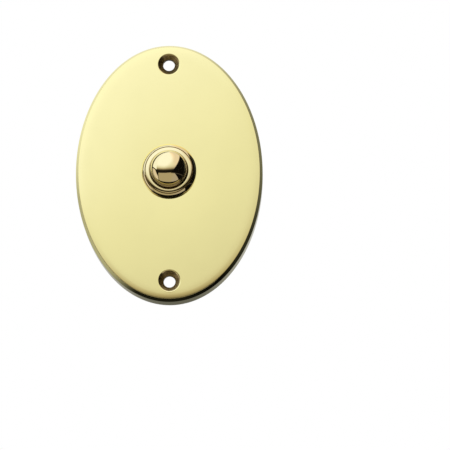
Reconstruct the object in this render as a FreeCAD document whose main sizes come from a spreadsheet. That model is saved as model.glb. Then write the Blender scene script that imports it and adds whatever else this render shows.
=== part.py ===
"""Oval brass bell push with a turned collar, a domed button and its switch.

The plate stands upright as it does on a door. +Z is up, the front faces -Y, and
the wall plane that the plate's rim rests on is Y = 0. The origin is where the
axis of the button meets that plane. All sizes are in millimetres.
"""
import FreeCAD, Part

import math
import os

import Sketcher
from FreeCAD import Placement, Rotation, Vector

os.makedirs("parts", exist_ok=True)

doc = FreeCAD.newDocument("bell_push")

# Driving dimensions

SIZES = [
    ("plate_width", 60.0, "oval plate, side to side"),
    ("plate_height", 84.0, "oval plate, top to bottom"),
    ("plate_depth", 9.0, "front face to the wall plane"),
    ("plate_edge_radius", 1.3, "rounding of the front edge"),
    ("plate_rim_chamfer", 0.3, "edge broken where the rim meets the wall"),
    ("rim_wall", 3.2, "wall of the rim round the hollow back"),
    ("face_thickness", 3.5, "metal behind the front face"),
    ("recess_corner_radius", 1.0, "inside corner of the hollow back"),
    ("screw_edge_margin", 6.5, "wall screw to the top or bottom of the plate"),
    ("screw_bore", 3.8, "diameter of a wall screw hole"),
    ("sink_width", 6.9, "diameter of a countersink at the face"),
    ("sink_angle", 90.0, "full angle of a countersink, degrees"),
    ("bead_width", 1.45, "bead round the button, guide bore to groove"),
    ("groove_width", 0.5, "groove between the bead and the shoulder"),
    ("shoulder_width", 0.85, "shoulder of the collar, groove to foot"),
    ("collar_foot_wall", 0.3, "straight edge of the collar's foot"),
    ("shoulder_round", 1.3, "section radius of the collar's low shoulder"),
    ("groove_floor", 0.6, "floor of that groove above the plate"),
    ("bead_round", 0.6, "section radius of the outer half of the bead"),
    ("bead_height", 2.5, "crest of the bead above the plate"),
    ("mouth_fall", 0.06, "fall of the bead from its crest to the guide bore"),
    ("barrel_wall", 1.05, "threaded barrel behind the collar"),
    ("barrel_chamfer", 0.4, "lead of the barrel's thread"),
    ("barrel_hole_clearance", 0.1, "barrel to the hole in the plate, radial"),
    ("guide_clearance", 0.1, "button to its guide bore, radial"),
    ("guide_depth", 1.0, "end of the guide bore behind the front face"),
    ("flange_clearance", 0.15, "flange of the button to the barrel, radial"),
    ("nut_wall", 1.5, "barrel to a flat of the collar nut"),
    ("nut_thickness", 2.4, "collar nut"),
    ("nut_chamfer", 0.5, "turned corners of the collar nut, along its axis"),
    ("nut_chamfer_width", 1.0, "turned corners of the collar nut, radial"),
    ("washer_thickness", 0.6, "toothed washer under the collar nut"),
    ("washer_band", 1.8, "toothed washer, its hole to its outside"),
    ("washer_tooth_count", 12.0, "teeth round the inside of the washer"),
    ("washer_tooth_depth", 0.75, "gap between teeth, radial"),
    ("washer_tooth_gap", 2.2, "gap between teeth, along the circle"),
    ("thread_clearance", 0.03, "male to female thread, radial"),
    ("barrel_stand_out", 0.5, "barrel end beyond its nut"),
    ("button_radius", 5.85, "head of the button"),
    ("button_height", 8.9, "top of the dome above the plate"),
    ("dome_rise", 2.9, "height of the dome over its edge"),
    ("dome_edge_radius", 0.8, "rounding between dome and side"),
    ("button_travel", 2.0, "stroke of the button"),
    ("flange_lip", 0.35, "flange that keeps the button in, beyond the guide bore"),
    ("flange_thickness", 1.2, "flange of the button"),
    ("stem_radius", 1.6, "stem behind the flange"),
    ("stem_length", 6.4, "flange to the end of the stem"),
    ("tip_radius", 2.2, "insulating tip on the stem"),
    ("tip_grip", 2.5, "length of stem inside the tip"),
    ("tip_chamfer", 0.3, "end of the insulating tip"),
    ("tip_gap", 0.1, "tip to the spring contact at rest"),
    ("tip_clearance", 0.3, "tip to its hole in the base, radial"),
    ("boss_radius", 2.6, "bosses that carry the contact base"),
    ("boss_root", 0.9, "bosses run on into the metal of the plate"),
    ("tapped_spare", 0.6, "tapped hole of a boss beyond its screw"),
    ("base_nut_gap", 0.3, "collar nut to the contact base"),
    ("base_rim", 3.5, "base screw to the edge of the contact base"),
    ("base_thickness", 4.0, "moulded contact base"),
    ("base_edge_radius", 0.6, "rounding of the base's rear edge"),
    ("well_clearance", 0.6, "barrel to the wall of its well in the base, radial"),
    ("well_depth", 2.2, "well in the base"),
    ("spring_seat_clearance", 0.4, "spring to the recess that centres it, radial"),
    ("spring_seat_depth", 0.5, "recess that centres the spring"),
    ("boss_nut_gap", 1.0, "boss to a corner of the collar nut"),
    ("base_screw_radius", 1.2, "thread of a base screw"),
    ("base_screw_length", 7.0, "base screw under its head"),
    ("base_screw_head_radius", 2.2, "head of a base screw"),
    ("base_screw_head_height", 1.6, "head of a base screw"),
    ("base_hole_clearance", 0.15, "screws to their holes in the base, radial"),
    ("spring_washer_thickness", 0.6, "split washer under a base screw"),
    ("spring_washer_width", 0.85, "radial width of a split washer"),
    ("spring_washer_gap", 0.5, "cut through a split washer"),
    ("pocket_wall", 1.1, "well to a corner of a terminal nut's pocket"),
    ("terminal_screw_radius", 1.45, "thread of a terminal screw"),
    ("terminal_screw_tail", 0.1, "screw end beyond its nut"),
    ("terminal_head_radius", 2.7, "head of a terminal screw"),
    ("terminal_head_height", 1.8, "head of a terminal screw"),
    ("terminal_washer_radius", 2.9, "washer on a terminal screw"),
    ("terminal_washer_thickness", 0.5, "washer on a terminal screw"),
    ("terminal_nut_flats", 5.5, "nut of a terminal across flats"),
    ("terminal_nut_thickness", 2.0, "nut of a terminal"),
    ("terminal_pocket_clearance", 0.1, "nut to its pocket, each flat"),
    ("screw_point_chamfer", 0.3, "end of a screw thread"),
    ("screw_head_chamfer", 0.45, "top edge of a screw head"),
    ("slot_width", 0.7, "screwdriver slots"),
    ("slot_depth", 0.8, "screwdriver slots"),
    ("rib_length", 6.0, "ribs that keep a contact from turning"),
    ("rib_width", 0.9, "ribs that keep a contact from turning"),
    ("rib_height", 1.0, "ribs that keep a contact from turning"),
    ("rib_gap", 0.1, "contact strip to a rib"),
    ("strip_width", 5.6, "contact strips at their terminals"),
    ("strip_end_reach", 3.2, "strip beyond its terminal screw"),
    ("leaf_thickness", 0.3, "spring contact"),
    ("leaf_tip_width", 4.4, "spring contact at the button's axis"),
    ("leaf_shoulder", 3.4, "terminal screw to where the leaf narrows"),
    ("bridge_thickness", 0.5, "fixed contact"),
    ("bridge_riser", 3.8, "terminal screw to the riser of the fixed contact"),
    ("bridge_bend_radius", 0.8, "outside of the fixed contact's bends"),
    ("bridge_overhang", 2.6, "fixed contact beyond the button's axis"),
    ("rivet_head_radius", 1.1, "contact points"),
    ("rivet_head_height", 0.4, "contact points"),
    ("rivet_shank_radius", 0.55, "contact points"),
    ("rivet_tail", 0.15, "closed end of the fixed contact point"),
    ("contact_clearance", 0.02, "between the contact points at full stroke"),
    ("spring_mean_radius", 3.35, "centre of the wire of the return spring"),
    ("spring_wire", 0.5, "diameter of the spring wire"),
    ("spring_turns", 5.0, "turns of the return spring, closed ones included"),
    ("spring_closed_turns", 1.0, "turns closed up at each end of the spring"),
    ("spring_closed_gap", 0.05, "between turns that are closed up"),
]

sizes = doc.addObject("Spreadsheet::Sheet", "Sizes")
for row, (alias, number, note) in enumerate(SIZES, start=1):
    sizes.set(f"A{row}", note)
    sizes.set(f"B{row}", str(number))
    sizes.setAlias(f"B{row}", alias)
doc.recompute()

# Places along the button's axis, as expressions over the sheet

FACE = "(-Sizes.plate_depth)"
FLOOR = "(-Sizes.plate_depth + Sizes.face_thickness)"
SHOULDER = f"({FACE} + Sizes.guide_depth)"
FLANGE_BACK = f"({SHOULDER} + Sizes.flange_thickness)"
STEM_END = f"({FLANGE_BACK} + Sizes.stem_length)"
NUT_FRONT = f"({FLOOR} + Sizes.washer_thickness)"
NUT_BACK = f"({NUT_FRONT} + Sizes.nut_thickness)"
BARREL_END = f"({NUT_BACK} + Sizes.barrel_stand_out)"
BASE_FRONT = f"({NUT_BACK} + Sizes.base_nut_gap)"
BASE_BACK = f"({BASE_FRONT} + Sizes.base_thickness)"
WELL_FLOOR = f"({BASE_FRONT} + Sizes.well_depth)"
SPRING_SEAT = f"({WELL_FLOOR} + Sizes.spring_seat_depth)"
TIP_END = f"({BASE_BACK} - Sizes.tip_gap)"
LEAF_BACK = f"({BASE_BACK} + Sizes.leaf_thickness)"
MOVING_POINT = f"({LEAF_BACK} + Sizes.rivet_head_height)"
FIXED_POINT = f"({MOVING_POINT} + Sizes.button_travel + Sizes.contact_clearance)"
BRIDGE_FRONT = f"({FIXED_POINT} + Sizes.rivet_head_height)"
BRIDGE_BACK = f"({BRIDGE_FRONT} + Sizes.bridge_thickness)"


def corner_reach(flats):
    """Centre to corner of a hexagon of the given width across flats."""
    return f"({flats}) / 2 / cos(30 deg)"


# Radii about the button's axis, from the button outwards

GUIDE_RADIUS = "(Sizes.button_radius + Sizes.guide_clearance)"
BEAD_RADIUS = f"({GUIDE_RADIUS} + Sizes.bead_width)"
GROOVE_RADIUS = f"({BEAD_RADIUS} + Sizes.groove_width)"
COLLAR_RADIUS = f"({GROOVE_RADIUS} + Sizes.shoulder_width)"
FLANGE_RADIUS = f"({GUIDE_RADIUS} + Sizes.flange_lip)"
SPRING_BORE = f"({FLANGE_RADIUS} + Sizes.flange_clearance)"
BARREL_RADIUS = f"({SPRING_BORE} + Sizes.barrel_wall)"
BARREL_HOLE = f"({BARREL_RADIUS} + Sizes.barrel_hole_clearance)"
NUT_FLATS = f"(2 * ({BARREL_RADIUS} + Sizes.nut_wall))"
WELL_RADIUS = f"({BARREL_RADIUS} + Sizes.well_clearance)"
SPRING_OUTSIDE = "(Sizes.spring_mean_radius + Sizes.spring_wire / 2)"

# Places across the button's axis

SCREW_OFFSET = "(Sizes.plate_height / 2 - Sizes.screw_edge_margin)"
BOSS_CLEAR = "(Sizes.boss_radius + Sizes.boss_nut_gap)"
BASE_SCREW_OFFSET = f"({corner_reach(NUT_FLATS)} + {BOSS_CLEAR})"
BASE_RADIUS = f"({BASE_SCREW_OFFSET} + Sizes.base_rim)"
POCKET_FLATS = "(Sizes.terminal_nut_flats + 2 * Sizes.terminal_pocket_clearance)"
POCKET_REACH = f"({corner_reach(POCKET_FLATS)} + Sizes.pocket_wall)"
TERMINAL_OFFSET = f"({WELL_RADIUS} + {POCKET_REACH})"

# Edges count as found where they are within this distance of a place

NEAR = 0.001

# Points of the spring's path in each turn

SPRING_STEPS = 12

# Helpers for sketches and features


def value(expression):
    """Present value of an expression over the sheet."""
    return float(sizes.evalExpression(expression.replace("Sizes.", "")))


def new_body(label):
    """An empty body that becomes one sub-part."""
    body = doc.addObject("PartDesign::Body", label + "_body")
    body.Label = label
    return body


def plane_of(body, role):
    """One of the body's own origin planes."""
    return next(part for part in body.Origin.OriginFeatures if part.Role == role)


def new_sketch(body, name, role, lift=None):
    """A sketch on an origin plane, lifted along its normal where asked."""
    sketch = body.newObject("Sketcher::SketchObject", name)
    sketch.AttachmentSupport = [(plane_of(body, role), "")]
    sketch.MapMode = "FlatFace"
    if lift is not None:
        sketch.setExpression("AttachmentOffset.Base.z", lift)
    return sketch


def place_point(sketch, geometry, point, across, along):
    """Tie one point of the sketch to two expressions."""
    for axis, expression, kind in ((-2, across, "DistanceX"), (-1, along, "DistanceY")):
        if expression == "0":
            sketch.addConstraint(Sketcher.Constraint("PointOnObject", geometry, point, axis))
            continue
        distance = Sketcher.Constraint(kind, -1, 1, geometry, point, value(expression))
        index = sketch.addConstraint(distance)
        sketch.setExpression(f"Constraints[{index}]", expression)


def draw_circle(sketch, across, along, radius):
    """A circle tied to the sheet in place and size."""
    centre = Vector(value(across), value(along), 0)
    circle = sketch.addGeometry(Part.Circle(centre, Vector(0, 0, 1), value(radius)), False)
    place_point(sketch, circle, 3, across, along)
    index = sketch.addConstraint(Sketcher.Constraint("Radius", circle, value(radius)))
    sketch.setExpression(f"Constraints[{index}]", radius)


def draw_ellipse(sketch, half_width, half_height):
    """An upright ellipse about the sketch's origin."""
    tall = Vector(0, value(half_height), 0)
    wide = Vector(value(half_width), 0, 0)
    ellipse = sketch.addGeometry(Part.Ellipse(tall, wide, Vector(0, 0, 0)), False)
    sketch.addConstraint(Sketcher.Constraint("Coincident", ellipse, 3, -1, 1))
    sketch.exposeInternalGeometry(ellipse)
    major = ellipse + 1
    minor = ellipse + 2
    sketch.addConstraint(Sketcher.Constraint("Vertical", major))
    for axis, half in ((major, half_height), (minor, half_width)):
        length = Sketcher.Constraint("Distance", axis, 2 * value(half))
        index = sketch.addConstraint(length)
        sketch.setExpression(f"Constraints[{index}]", f"2 * ({half})")


def arc_of(start, end, centre, clockwise):
    """An arc round a centre, with its two ends given in drawing order."""
    if clockwise:
        start, end = end, start
    circle = Part.Circle(centre, Vector(0, 0, 1), (start - centre).Length)
    return Part.ArcOfCircle(circle, circle.parameter(start), circle.parameter(end))


def draw_outline(sketch, corners, arcs=None):
    """A closed outline through corners given as pairs of expressions.

    arcs maps the number of a corner to (centre across, centre along, clockwise)
    for the side that leaves it. One of the centre's two expressions may be None,
    because the ends already fix it.
    """
    arcs = arcs or {}
    first = sketch.GeometryCount
    points = [Vector(value(across), value(along), 0) for across, along in corners]
    count = len(corners)
    ends = []
    for number, start in enumerate(points):
        end = points[(number + 1) % count]
        if number not in arcs:
            sketch.addGeometry(Part.LineSegment(start, end), False)
            ends.append((1, 2))
            continue
        across, along, clockwise = arcs[number]
        centre = arc_centre(start, end, across, along)
        sketch.addGeometry(arc_of(start, end, centre, clockwise), False)
        ends.append((2, 1) if clockwise else (1, 2))
    for number in range(count):
        follower = (number + 1) % count
        joint = (first + number, ends[number][1], first + follower, ends[follower][0])
        sketch.addConstraint(Sketcher.Constraint("Coincident", *joint))
    for number, (across, along) in enumerate(corners):
        place_point(sketch, first + number, ends[number][0], across, along)
    for number, (across, along, clockwise) in arcs.items():
        tie_centre(sketch, first + number, across, along)


def arc_centre(start, end, across, along):
    """Centre on the bisector of two points, from its known coordinate."""
    middle = (start + end) * 0.5
    chord = end - start
    if across is not None:
        known = value(across)
        return Vector(known, middle.y - (known - middle.x) * chord.x / chord.y, 0)
    known = value(along)
    return Vector(middle.x - (known - middle.y) * chord.y / chord.x, known, 0)


def tie_centre(sketch, geometry, across, along):
    """Tie the known coordinate of an arc's centre to its expression."""
    axis, expression, kind = (-2, across, "DistanceX")
    if across is None:
        axis, expression, kind = (-1, along, "DistanceY")
    if expression == "0":
        sketch.addConstraint(Sketcher.Constraint("PointOnObject", geometry, 3, axis))
        return
    distance = Sketcher.Constraint(kind, -1, 1, geometry, 3, value(expression))
    index = sketch.addConstraint(distance)
    sketch.setExpression(f"Constraints[{index}]", expression)


def rectangle(left, right, bottom, top):
    """Corners of a rectangle, as expressions."""
    return [(left, bottom), (right, bottom), (right, top), (left, top)]


def hexagon(centre_across, centre_along, flats):
    """Corners of a regular hexagon of the given width across flats."""
    corner = corner_reach(flats)
    corners = []
    for angle in range(0, 360, 60):
        corners.append((
            f"{centre_across} + {corner} * cos({angle} deg)",
            f"{centre_along} + {corner} * sin({angle} deg)",
        ))
    return corners


def revolve(body, name, corners, arcs=None):
    """A turned form about the body's Y axis."""
    sketch = new_sketch(body, name + "_profile", "XY_Plane")
    draw_outline(sketch, corners, arcs)
    turned = body.newObject("PartDesign::Revolution", name)
    turned.Profile = sketch
    turned.ReferenceAxis = (sketch, ["V_Axis"])
    turned.Angle = 360
    doc.recompute()
    return turned


def pad(body, name, sketch, length, backwards=False):
    """Metal added along the sketch's normal, or against it."""
    added = body.newObject("PartDesign::Pad", name)
    added.Profile = sketch
    added.setExpression("Length", length)
    added.Reversed = backwards
    doc.recompute()
    return added


def pocket(body, name, sketch, length=None, backwards=False):
    """Metal cut away, to a depth or right through."""
    before = body.Shape.Volume
    cut = body.newObject("PartDesign::Pocket", name)
    cut.Profile = sketch
    cut.Reversed = backwards
    if length is None:
        cut.Type = "ThroughAll"
    else:
        cut.setExpression("Length", length)
    doc.recompute()
    if body.Shape.Volume >= before:
        raise RuntimeError(f"{name} cuts nothing")
    return cut


def edges_where(shape, test):
    """Names of the edges whose centre of mass and length pass a test."""
    return [
        f"Edge{number}"
        for number, edge in enumerate(shape.Edges, start=1)
        if test(edge)
    ]


def soften(body, kind, name, base, size, test):
    """Fillet or chamfer the edges of the last feature that pass a test."""
    names = edges_where(base.Shape, test)
    if not names:
        raise RuntimeError(f"{name} finds no edge")
    softened = body.newObject(f"PartDesign::{kind}", name)
    softened.Base = (base, names)
    softened.setExpression("Radius" if kind == "Fillet" else "Size", size)
    doc.recompute()
    return softened


def lies_at(edge, along):
    """Whether a whole edge lies in the plane Y = along."""
    box = edge.BoundBox
    return abs(box.YMin - along) < NEAR and abs(box.YMax - along) < NEAR


def ring_at(edge, along, radius):
    """Whether an edge is a circle about the button's axis."""
    if not lies_at(edge, along) or not isinstance(edge.Curve, Part.Circle):
        return False
    centre = edge.Curve.Center
    return abs(edge.Curve.Radius - radius) < NEAR and abs(centre.x) + abs(centre.z) < NEAR


def oval_at(edge, along, height):
    """Whether an edge is an oval of a known height in the plane Y = along."""
    return lies_at(edge, along) and abs(edge.BoundBox.ZLength - height) < NEAR


# Oval plate


def build_face_plate():
    """Cast plate with a hollow back, two bosses and two countersunk holes."""
    body = new_body("face_plate")
    outline = new_sketch(body, "plate_outline", "XZ_Plane")
    draw_ellipse(outline, "Sizes.plate_width / 2", "Sizes.plate_height / 2")
    pad(body, "plate_blank", outline, "Sizes.plate_depth")

    hollow = new_sketch(body, "hollow_outline", "XZ_Plane")
    draw_ellipse(hollow, "Sizes.plate_width / 2 - Sizes.rim_wall",
                 "Sizes.plate_height / 2 - Sizes.rim_wall")
    recess = pocket(body, "hollow_back", hollow, "Sizes.plate_depth - Sizes.face_thickness", True)
    floor = value(FLOOR)
    soften(body, "Fillet", "hollow_corner", recess, "Sizes.recess_corner_radius",
           lambda edge: lies_at(edge, floor))

    bosses = new_sketch(body, "boss_circles", "XZ_Plane", f"-{BASE_FRONT}")
    tapped = new_sketch(body, "tapped_circles", "XZ_Plane", f"-{BASE_FRONT}")
    for sign in ("", "-"):
        along = f"{sign}{BASE_SCREW_OFFSET}"
        draw_circle(bosses, "0", along, "Sizes.boss_radius")
        draw_circle(tapped, "0", along,
                    "Sizes.base_screw_radius + Sizes.thread_clearance")
    boss_height = f"{BASE_FRONT} - {FLOOR}"
    pad(body, "bosses", bosses, f"{boss_height} + Sizes.boss_root")
    screw_reach = "Sizes.base_screw_length - Sizes.base_thickness - Sizes.spring_washer_thickness"
    pocket(body, "tapped_holes", tapped, f"{screw_reach} + Sizes.tapped_spare", True)

    opening = new_sketch(body, "collar_hole", "XZ_Plane")
    draw_circle(opening, "0", "0", BARREL_HOLE)
    pocket(body, "collar_opening", opening, None, True)

    centres = new_sketch(body, "screw_centres", "XZ_Plane", "Sizes.plate_depth")
    for sign in ("", "-"):
        draw_circle(centres, "0", f"{sign}{SCREW_OFFSET}",
                    "Sizes.screw_bore / 2")
    doc.recompute()
    holes = body.newObject("PartDesign::Hole", "screw_holes")
    holes.Profile = centres
    holes.Threaded = False
    holes.setExpression("Diameter", "Sizes.screw_bore")
    holes.DepthType = "ThroughAll"
    holes.HoleCutType = "Countersink"
    holes.HoleCutCustomValues = True
    holes.setExpression("HoleCutDiameter", "Sizes.sink_width")
    holes.setExpression("HoleCutCountersinkAngle", "Sizes.sink_angle")
    doc.recompute()

    face = value(FACE)
    height = value("Sizes.plate_height")
    rounded = soften(body, "Fillet", "front_edge", holes, "Sizes.plate_edge_radius",
                     lambda edge: oval_at(edge, face, height))
    soften(body, "Chamfer", "rim_edge", rounded, "Sizes.plate_rim_chamfer",
           lambda edge: oval_at(edge, 0, height))
    return body


# Turned collar and what clamps it


def build_collar():
    """Collar with a low shoulder, a groove, a bead and the barrel behind it."""
    body = new_body("collar")
    foot_top = f"({FACE} - Sizes.collar_foot_wall)"
    across = "(Sizes.shoulder_round - Sizes.shoulder_width)"
    rise = f"sqrt(Sizes.shoulder_round ^ 2 - {across} ^ 2)"
    groove = f"({FACE} - Sizes.groove_floor)"
    crest = f"({FACE} - Sizes.bead_height)"
    bead_side = f"({crest} + Sizes.bead_round)"
    crest_radius = f"({BEAD_RADIUS} - Sizes.bead_round)"
    corners = [
        (BARREL_RADIUS, FACE),
        (COLLAR_RADIUS, FACE),
        (COLLAR_RADIUS, foot_top),
        (GROOVE_RADIUS, f"{foot_top} - {rise}"),
        (GROOVE_RADIUS, groove),
        (BEAD_RADIUS, groove),
        (BEAD_RADIUS, bead_side),
        (crest_radius, crest),
        (GUIDE_RADIUS, f"{crest} + Sizes.mouth_fall"),
        (GUIDE_RADIUS, SHOULDER),
        (SPRING_BORE, SHOULDER),
        (SPRING_BORE, BARREL_END),
        (f"{BARREL_RADIUS} - Sizes.barrel_chamfer", BARREL_END),
        (BARREL_RADIUS, f"{BARREL_END} - Sizes.barrel_chamfer"),
    ]
    arcs = {
        2: (None, foot_top, True),
        6: (None, bead_side, True),
        7: (crest_radius, None, True),
    }
    revolve(body, "collar_turning", corners, arcs)
    return body


def build_collar_lock_washer():
    """Washer with teeth round its hole, under the collar nut."""
    body = new_body("collar_lock_washer")
    ring = new_sketch(body, "washer_ring", "XZ_Plane", f"-{NUT_FRONT}")
    draw_circle(ring, "0", "0", f"{BARREL_HOLE} + Sizes.washer_band")
    draw_circle(ring, "0", "0", BARREL_HOLE)
    pad(body, "washer_blank", ring, "Sizes.washer_thickness")

    gap = new_sketch(body, "tooth_gap", "XZ_Plane", f"-{NUT_FRONT}")
    half = "Sizes.washer_tooth_gap / 2"
    draw_outline(gap, rectangle(f"-{half}", half, f"{BARREL_HOLE} - Sizes.washer_tooth_depth",
                                f"{BARREL_HOLE} + Sizes.washer_tooth_depth"))
    first = pocket(body, "first_gap", gap, "Sizes.washer_thickness", True)
    teeth = body.newObject("PartDesign::PolarPattern", "teeth")
    teeth.Originals = [first]
    teeth.Axis = (gap, ["N_Axis"])
    teeth.Angle = 360
    teeth.setExpression("Occurrences", "Sizes.washer_tooth_count")
    body.Tip = teeth
    doc.recompute()
    return body


def build_collar_nut():
    """Thin hexagon nut on the collar's barrel."""
    body = new_body("collar_nut")
    outline = new_sketch(body, "nut_hexagon", "XZ_Plane", f"-{NUT_BACK}")
    draw_outline(outline, hexagon("0", "0", NUT_FLATS))
    draw_circle(outline, "0", "0", f"{BARREL_RADIUS} + Sizes.thread_clearance")
    pad(body, "nut_blank", outline, "Sizes.nut_thickness")
    trim_corners(body)
    return body


def trim_corners(body):
    """Cone that takes the rear corners off the collar nut."""
    reach = corner_reach(NUT_FLATS)
    outside = f"{reach} + Sizes.nut_chamfer"
    sketch = new_sketch(body, "nut_corner_profile", "XY_Plane")
    draw_outline(sketch, [
        (outside, NUT_BACK),
        (outside, f"{NUT_BACK} - Sizes.nut_chamfer"),
        (reach, f"{NUT_BACK} - Sizes.nut_chamfer"),
        (f"{reach} - Sizes.nut_chamfer_width", NUT_BACK),
    ])
    groove = body.newObject("PartDesign::Groove", "nut_corners")
    groove.Profile = sketch
    groove.ReferenceAxis = (sketch, ["V_Axis"])
    groove.Angle = 360
    doc.recompute()


# Button and what moves with it


def build_push_button():
    """Domed button turned in one piece with its flange and stem."""
    body = new_body("push_button")
    dome_top = f"({FACE} - Sizes.button_height)"
    dome_edge = f"({dome_top} + Sizes.dome_rise)"
    corners = [
        ("0", dome_top),
        ("Sizes.button_radius", dome_edge),
        ("Sizes.button_radius", SHOULDER),
        (FLANGE_RADIUS, SHOULDER),
        (FLANGE_RADIUS, FLANGE_BACK),
        ("Sizes.stem_radius", FLANGE_BACK),
        ("Sizes.stem_radius", STEM_END),
        ("0", STEM_END),
    ]
    turned = revolve(body, "button_turning", corners, {0: ("0", None, False)})
    edge_place = value(dome_edge)
    radius = value("Sizes.button_radius")
    soften(body, "Fillet", "dome_edge", turned, "Sizes.dome_edge_radius",
           lambda edge: ring_at(edge, edge_place, radius))
    return body


def build_plunger_tip():
    """Moulded cap on the stem, which keeps the button off the circuit."""
    body = new_body("plunger_tip")
    corners = [
        ("Sizes.stem_radius", f"{STEM_END} - Sizes.tip_grip"),
        ("Sizes.tip_radius", f"{STEM_END} - Sizes.tip_grip"),
        ("Sizes.tip_radius", f"{TIP_END} - Sizes.tip_chamfer"),
        ("Sizes.tip_radius - Sizes.tip_chamfer", TIP_END),
        ("0", TIP_END),
        ("0", STEM_END),
        ("Sizes.stem_radius", STEM_END),
    ]
    revolve(body, "tip_moulding", corners)
    return body


def spring_height(turn):
    """Height of the wire's centre after some turns, with both ends closed up."""
    wire = value("Sizes.spring_wire")
    full = value(f"{SPRING_SEAT} - {FLANGE_BACK}") - wire
    turns = value("Sizes.spring_turns")
    closed = value("Sizes.spring_closed_turns")
    closed_pitch = wire + value("Sizes.spring_closed_gap")
    open_pitch = (full - 2 * closed * closed_pitch) / (turns - 2 * closed)
    if turn < closed:
        return turn * closed_pitch
    if turn > turns - closed:
        return full - (turns - turn) * closed_pitch
    return closed * closed_pitch + (turn - closed) * open_pitch


def build_return_spring():
    """Coil of round wire between the button's flange and the base."""
    wire = value("Sizes.spring_wire") / 2
    radius = value("Sizes.spring_mean_radius")
    count = round(value("Sizes.spring_turns") * SPRING_STEPS)
    points = []
    for number in range(count + 1):
        turn = number / SPRING_STEPS
        angle = 2 * math.pi * turn
        points.append(Vector(
            radius * math.cos(angle),
            spring_height(turn),
            radius * math.sin(angle),
        ))
    path = Part.BSplineCurve()
    path.interpolate(points)
    section = Part.makeCircle(wire, points[0], path.tangent(path.FirstParameter)[0])
    coil = Part.Wire(path.toShape()).makePipeShell([Part.Wire(section)], True, True)
    spring = doc.addObject("Part::Feature", "return_spring")
    spring.Shape = coil
    spring.Placement = Placement(Vector(0, value(FLANGE_BACK) + wire, 0), Rotation())
    spring.Label = "return_spring"
    return spring


# Contact base and circuit


def build_contact_base():
    """Round moulding that carries both contacts behind the button."""
    body = new_body("contact_base")
    disc = new_sketch(body, "base_disc", "XZ_Plane", f"-{BASE_BACK}")
    draw_circle(disc, "0", "0", BASE_RADIUS)
    blank = pad(body, "base_blank", disc, "Sizes.base_thickness")
    back = value(BASE_BACK)
    rim = value(BASE_RADIUS)
    soften(body, "Fillet", "base_edge", blank, "Sizes.base_edge_radius",
           lambda edge: ring_at(edge, back, rim))

    ribs = new_sketch(body, "rib_outlines", "XZ_Plane", f"-{BASE_BACK}")
    inner = "(Sizes.strip_width / 2 + Sizes.rib_gap)"
    outer = f"({inner} + Sizes.rib_width)"
    for side in ("", "-"):
        left = f"{side}{TERMINAL_OFFSET} - Sizes.rib_length / 2"
        right = f"{side}{TERMINAL_OFFSET} + Sizes.rib_length / 2"
        draw_outline(ribs, rectangle(left, right, inner, outer))
        draw_outline(ribs, rectangle(left, right, f"-{outer}", f"-{inner}"))
    pad(body, "ribs", ribs, "Sizes.rib_height", True)

    well = new_sketch(body, "well_circle", "XZ_Plane", f"-{BASE_FRONT}")
    draw_circle(well, "0", "0", WELL_RADIUS)
    pocket(body, "well", well, "Sizes.well_depth")
    seat = new_sketch(body, "seat_circle", "XZ_Plane", f"-{BASE_FRONT}")
    draw_circle(seat, "0", "0", f"{SPRING_OUTSIDE} + Sizes.spring_seat_clearance")
    pocket(body, "spring_seat", seat, "Sizes.well_depth + Sizes.spring_seat_depth")

    nuts = new_sketch(body, "nut_pockets_outline", "XZ_Plane", f"-{BASE_FRONT}")
    holes = new_sketch(body, "through_holes", "XZ_Plane", f"-{BASE_FRONT}")
    draw_circle(holes, "0", "0",
                "Sizes.tip_radius + Sizes.tip_clearance")
    for side in ("", "-"):
        across = f"{side}{TERMINAL_OFFSET}"
        draw_outline(nuts, hexagon(across, "0", POCKET_FLATS))
        draw_circle(holes, across, "0",
                    "Sizes.terminal_screw_radius + Sizes.base_hole_clearance")
        draw_circle(holes, "0", f"{side}{BASE_SCREW_OFFSET}",
                    "Sizes.base_screw_radius + Sizes.base_hole_clearance")
    pocket(body, "nut_pockets", nuts,
           "Sizes.terminal_nut_thickness + Sizes.terminal_pocket_clearance")
    pocket(body, "holes", holes, "Sizes.base_thickness")
    return body


def build_moving_contact():
    """Flat leaf that the plunger bends back, held at the left terminal."""
    body = new_body("moving_contact")
    outline = new_sketch(body, "leaf_outline", "XZ_Plane", f"-{BASE_BACK}")
    root = f"(-{TERMINAL_OFFSET} - Sizes.strip_end_reach)"
    neck = f"(-{TERMINAL_OFFSET} + Sizes.leaf_shoulder)"
    wide = "Sizes.strip_width / 2"
    narrow = "Sizes.leaf_tip_width / 2"
    corners = [
        (root, f"-{wide}"),
        (neck, f"-{wide}"),
        ("0", f"-{narrow}"),
        ("0", narrow),
        (neck, wide),
        (root, wide),
    ]
    draw_outline(outline, corners, {2: ("0", None, False)})
    draw_circle(outline, f"-{TERMINAL_OFFSET}", "0",
                "Sizes.terminal_screw_radius + Sizes.base_hole_clearance")
    draw_circle(outline, "0", "0", "Sizes.rivet_shank_radius")
    pad(body, "leaf", outline, "Sizes.leaf_thickness", True)
    return body


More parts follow.
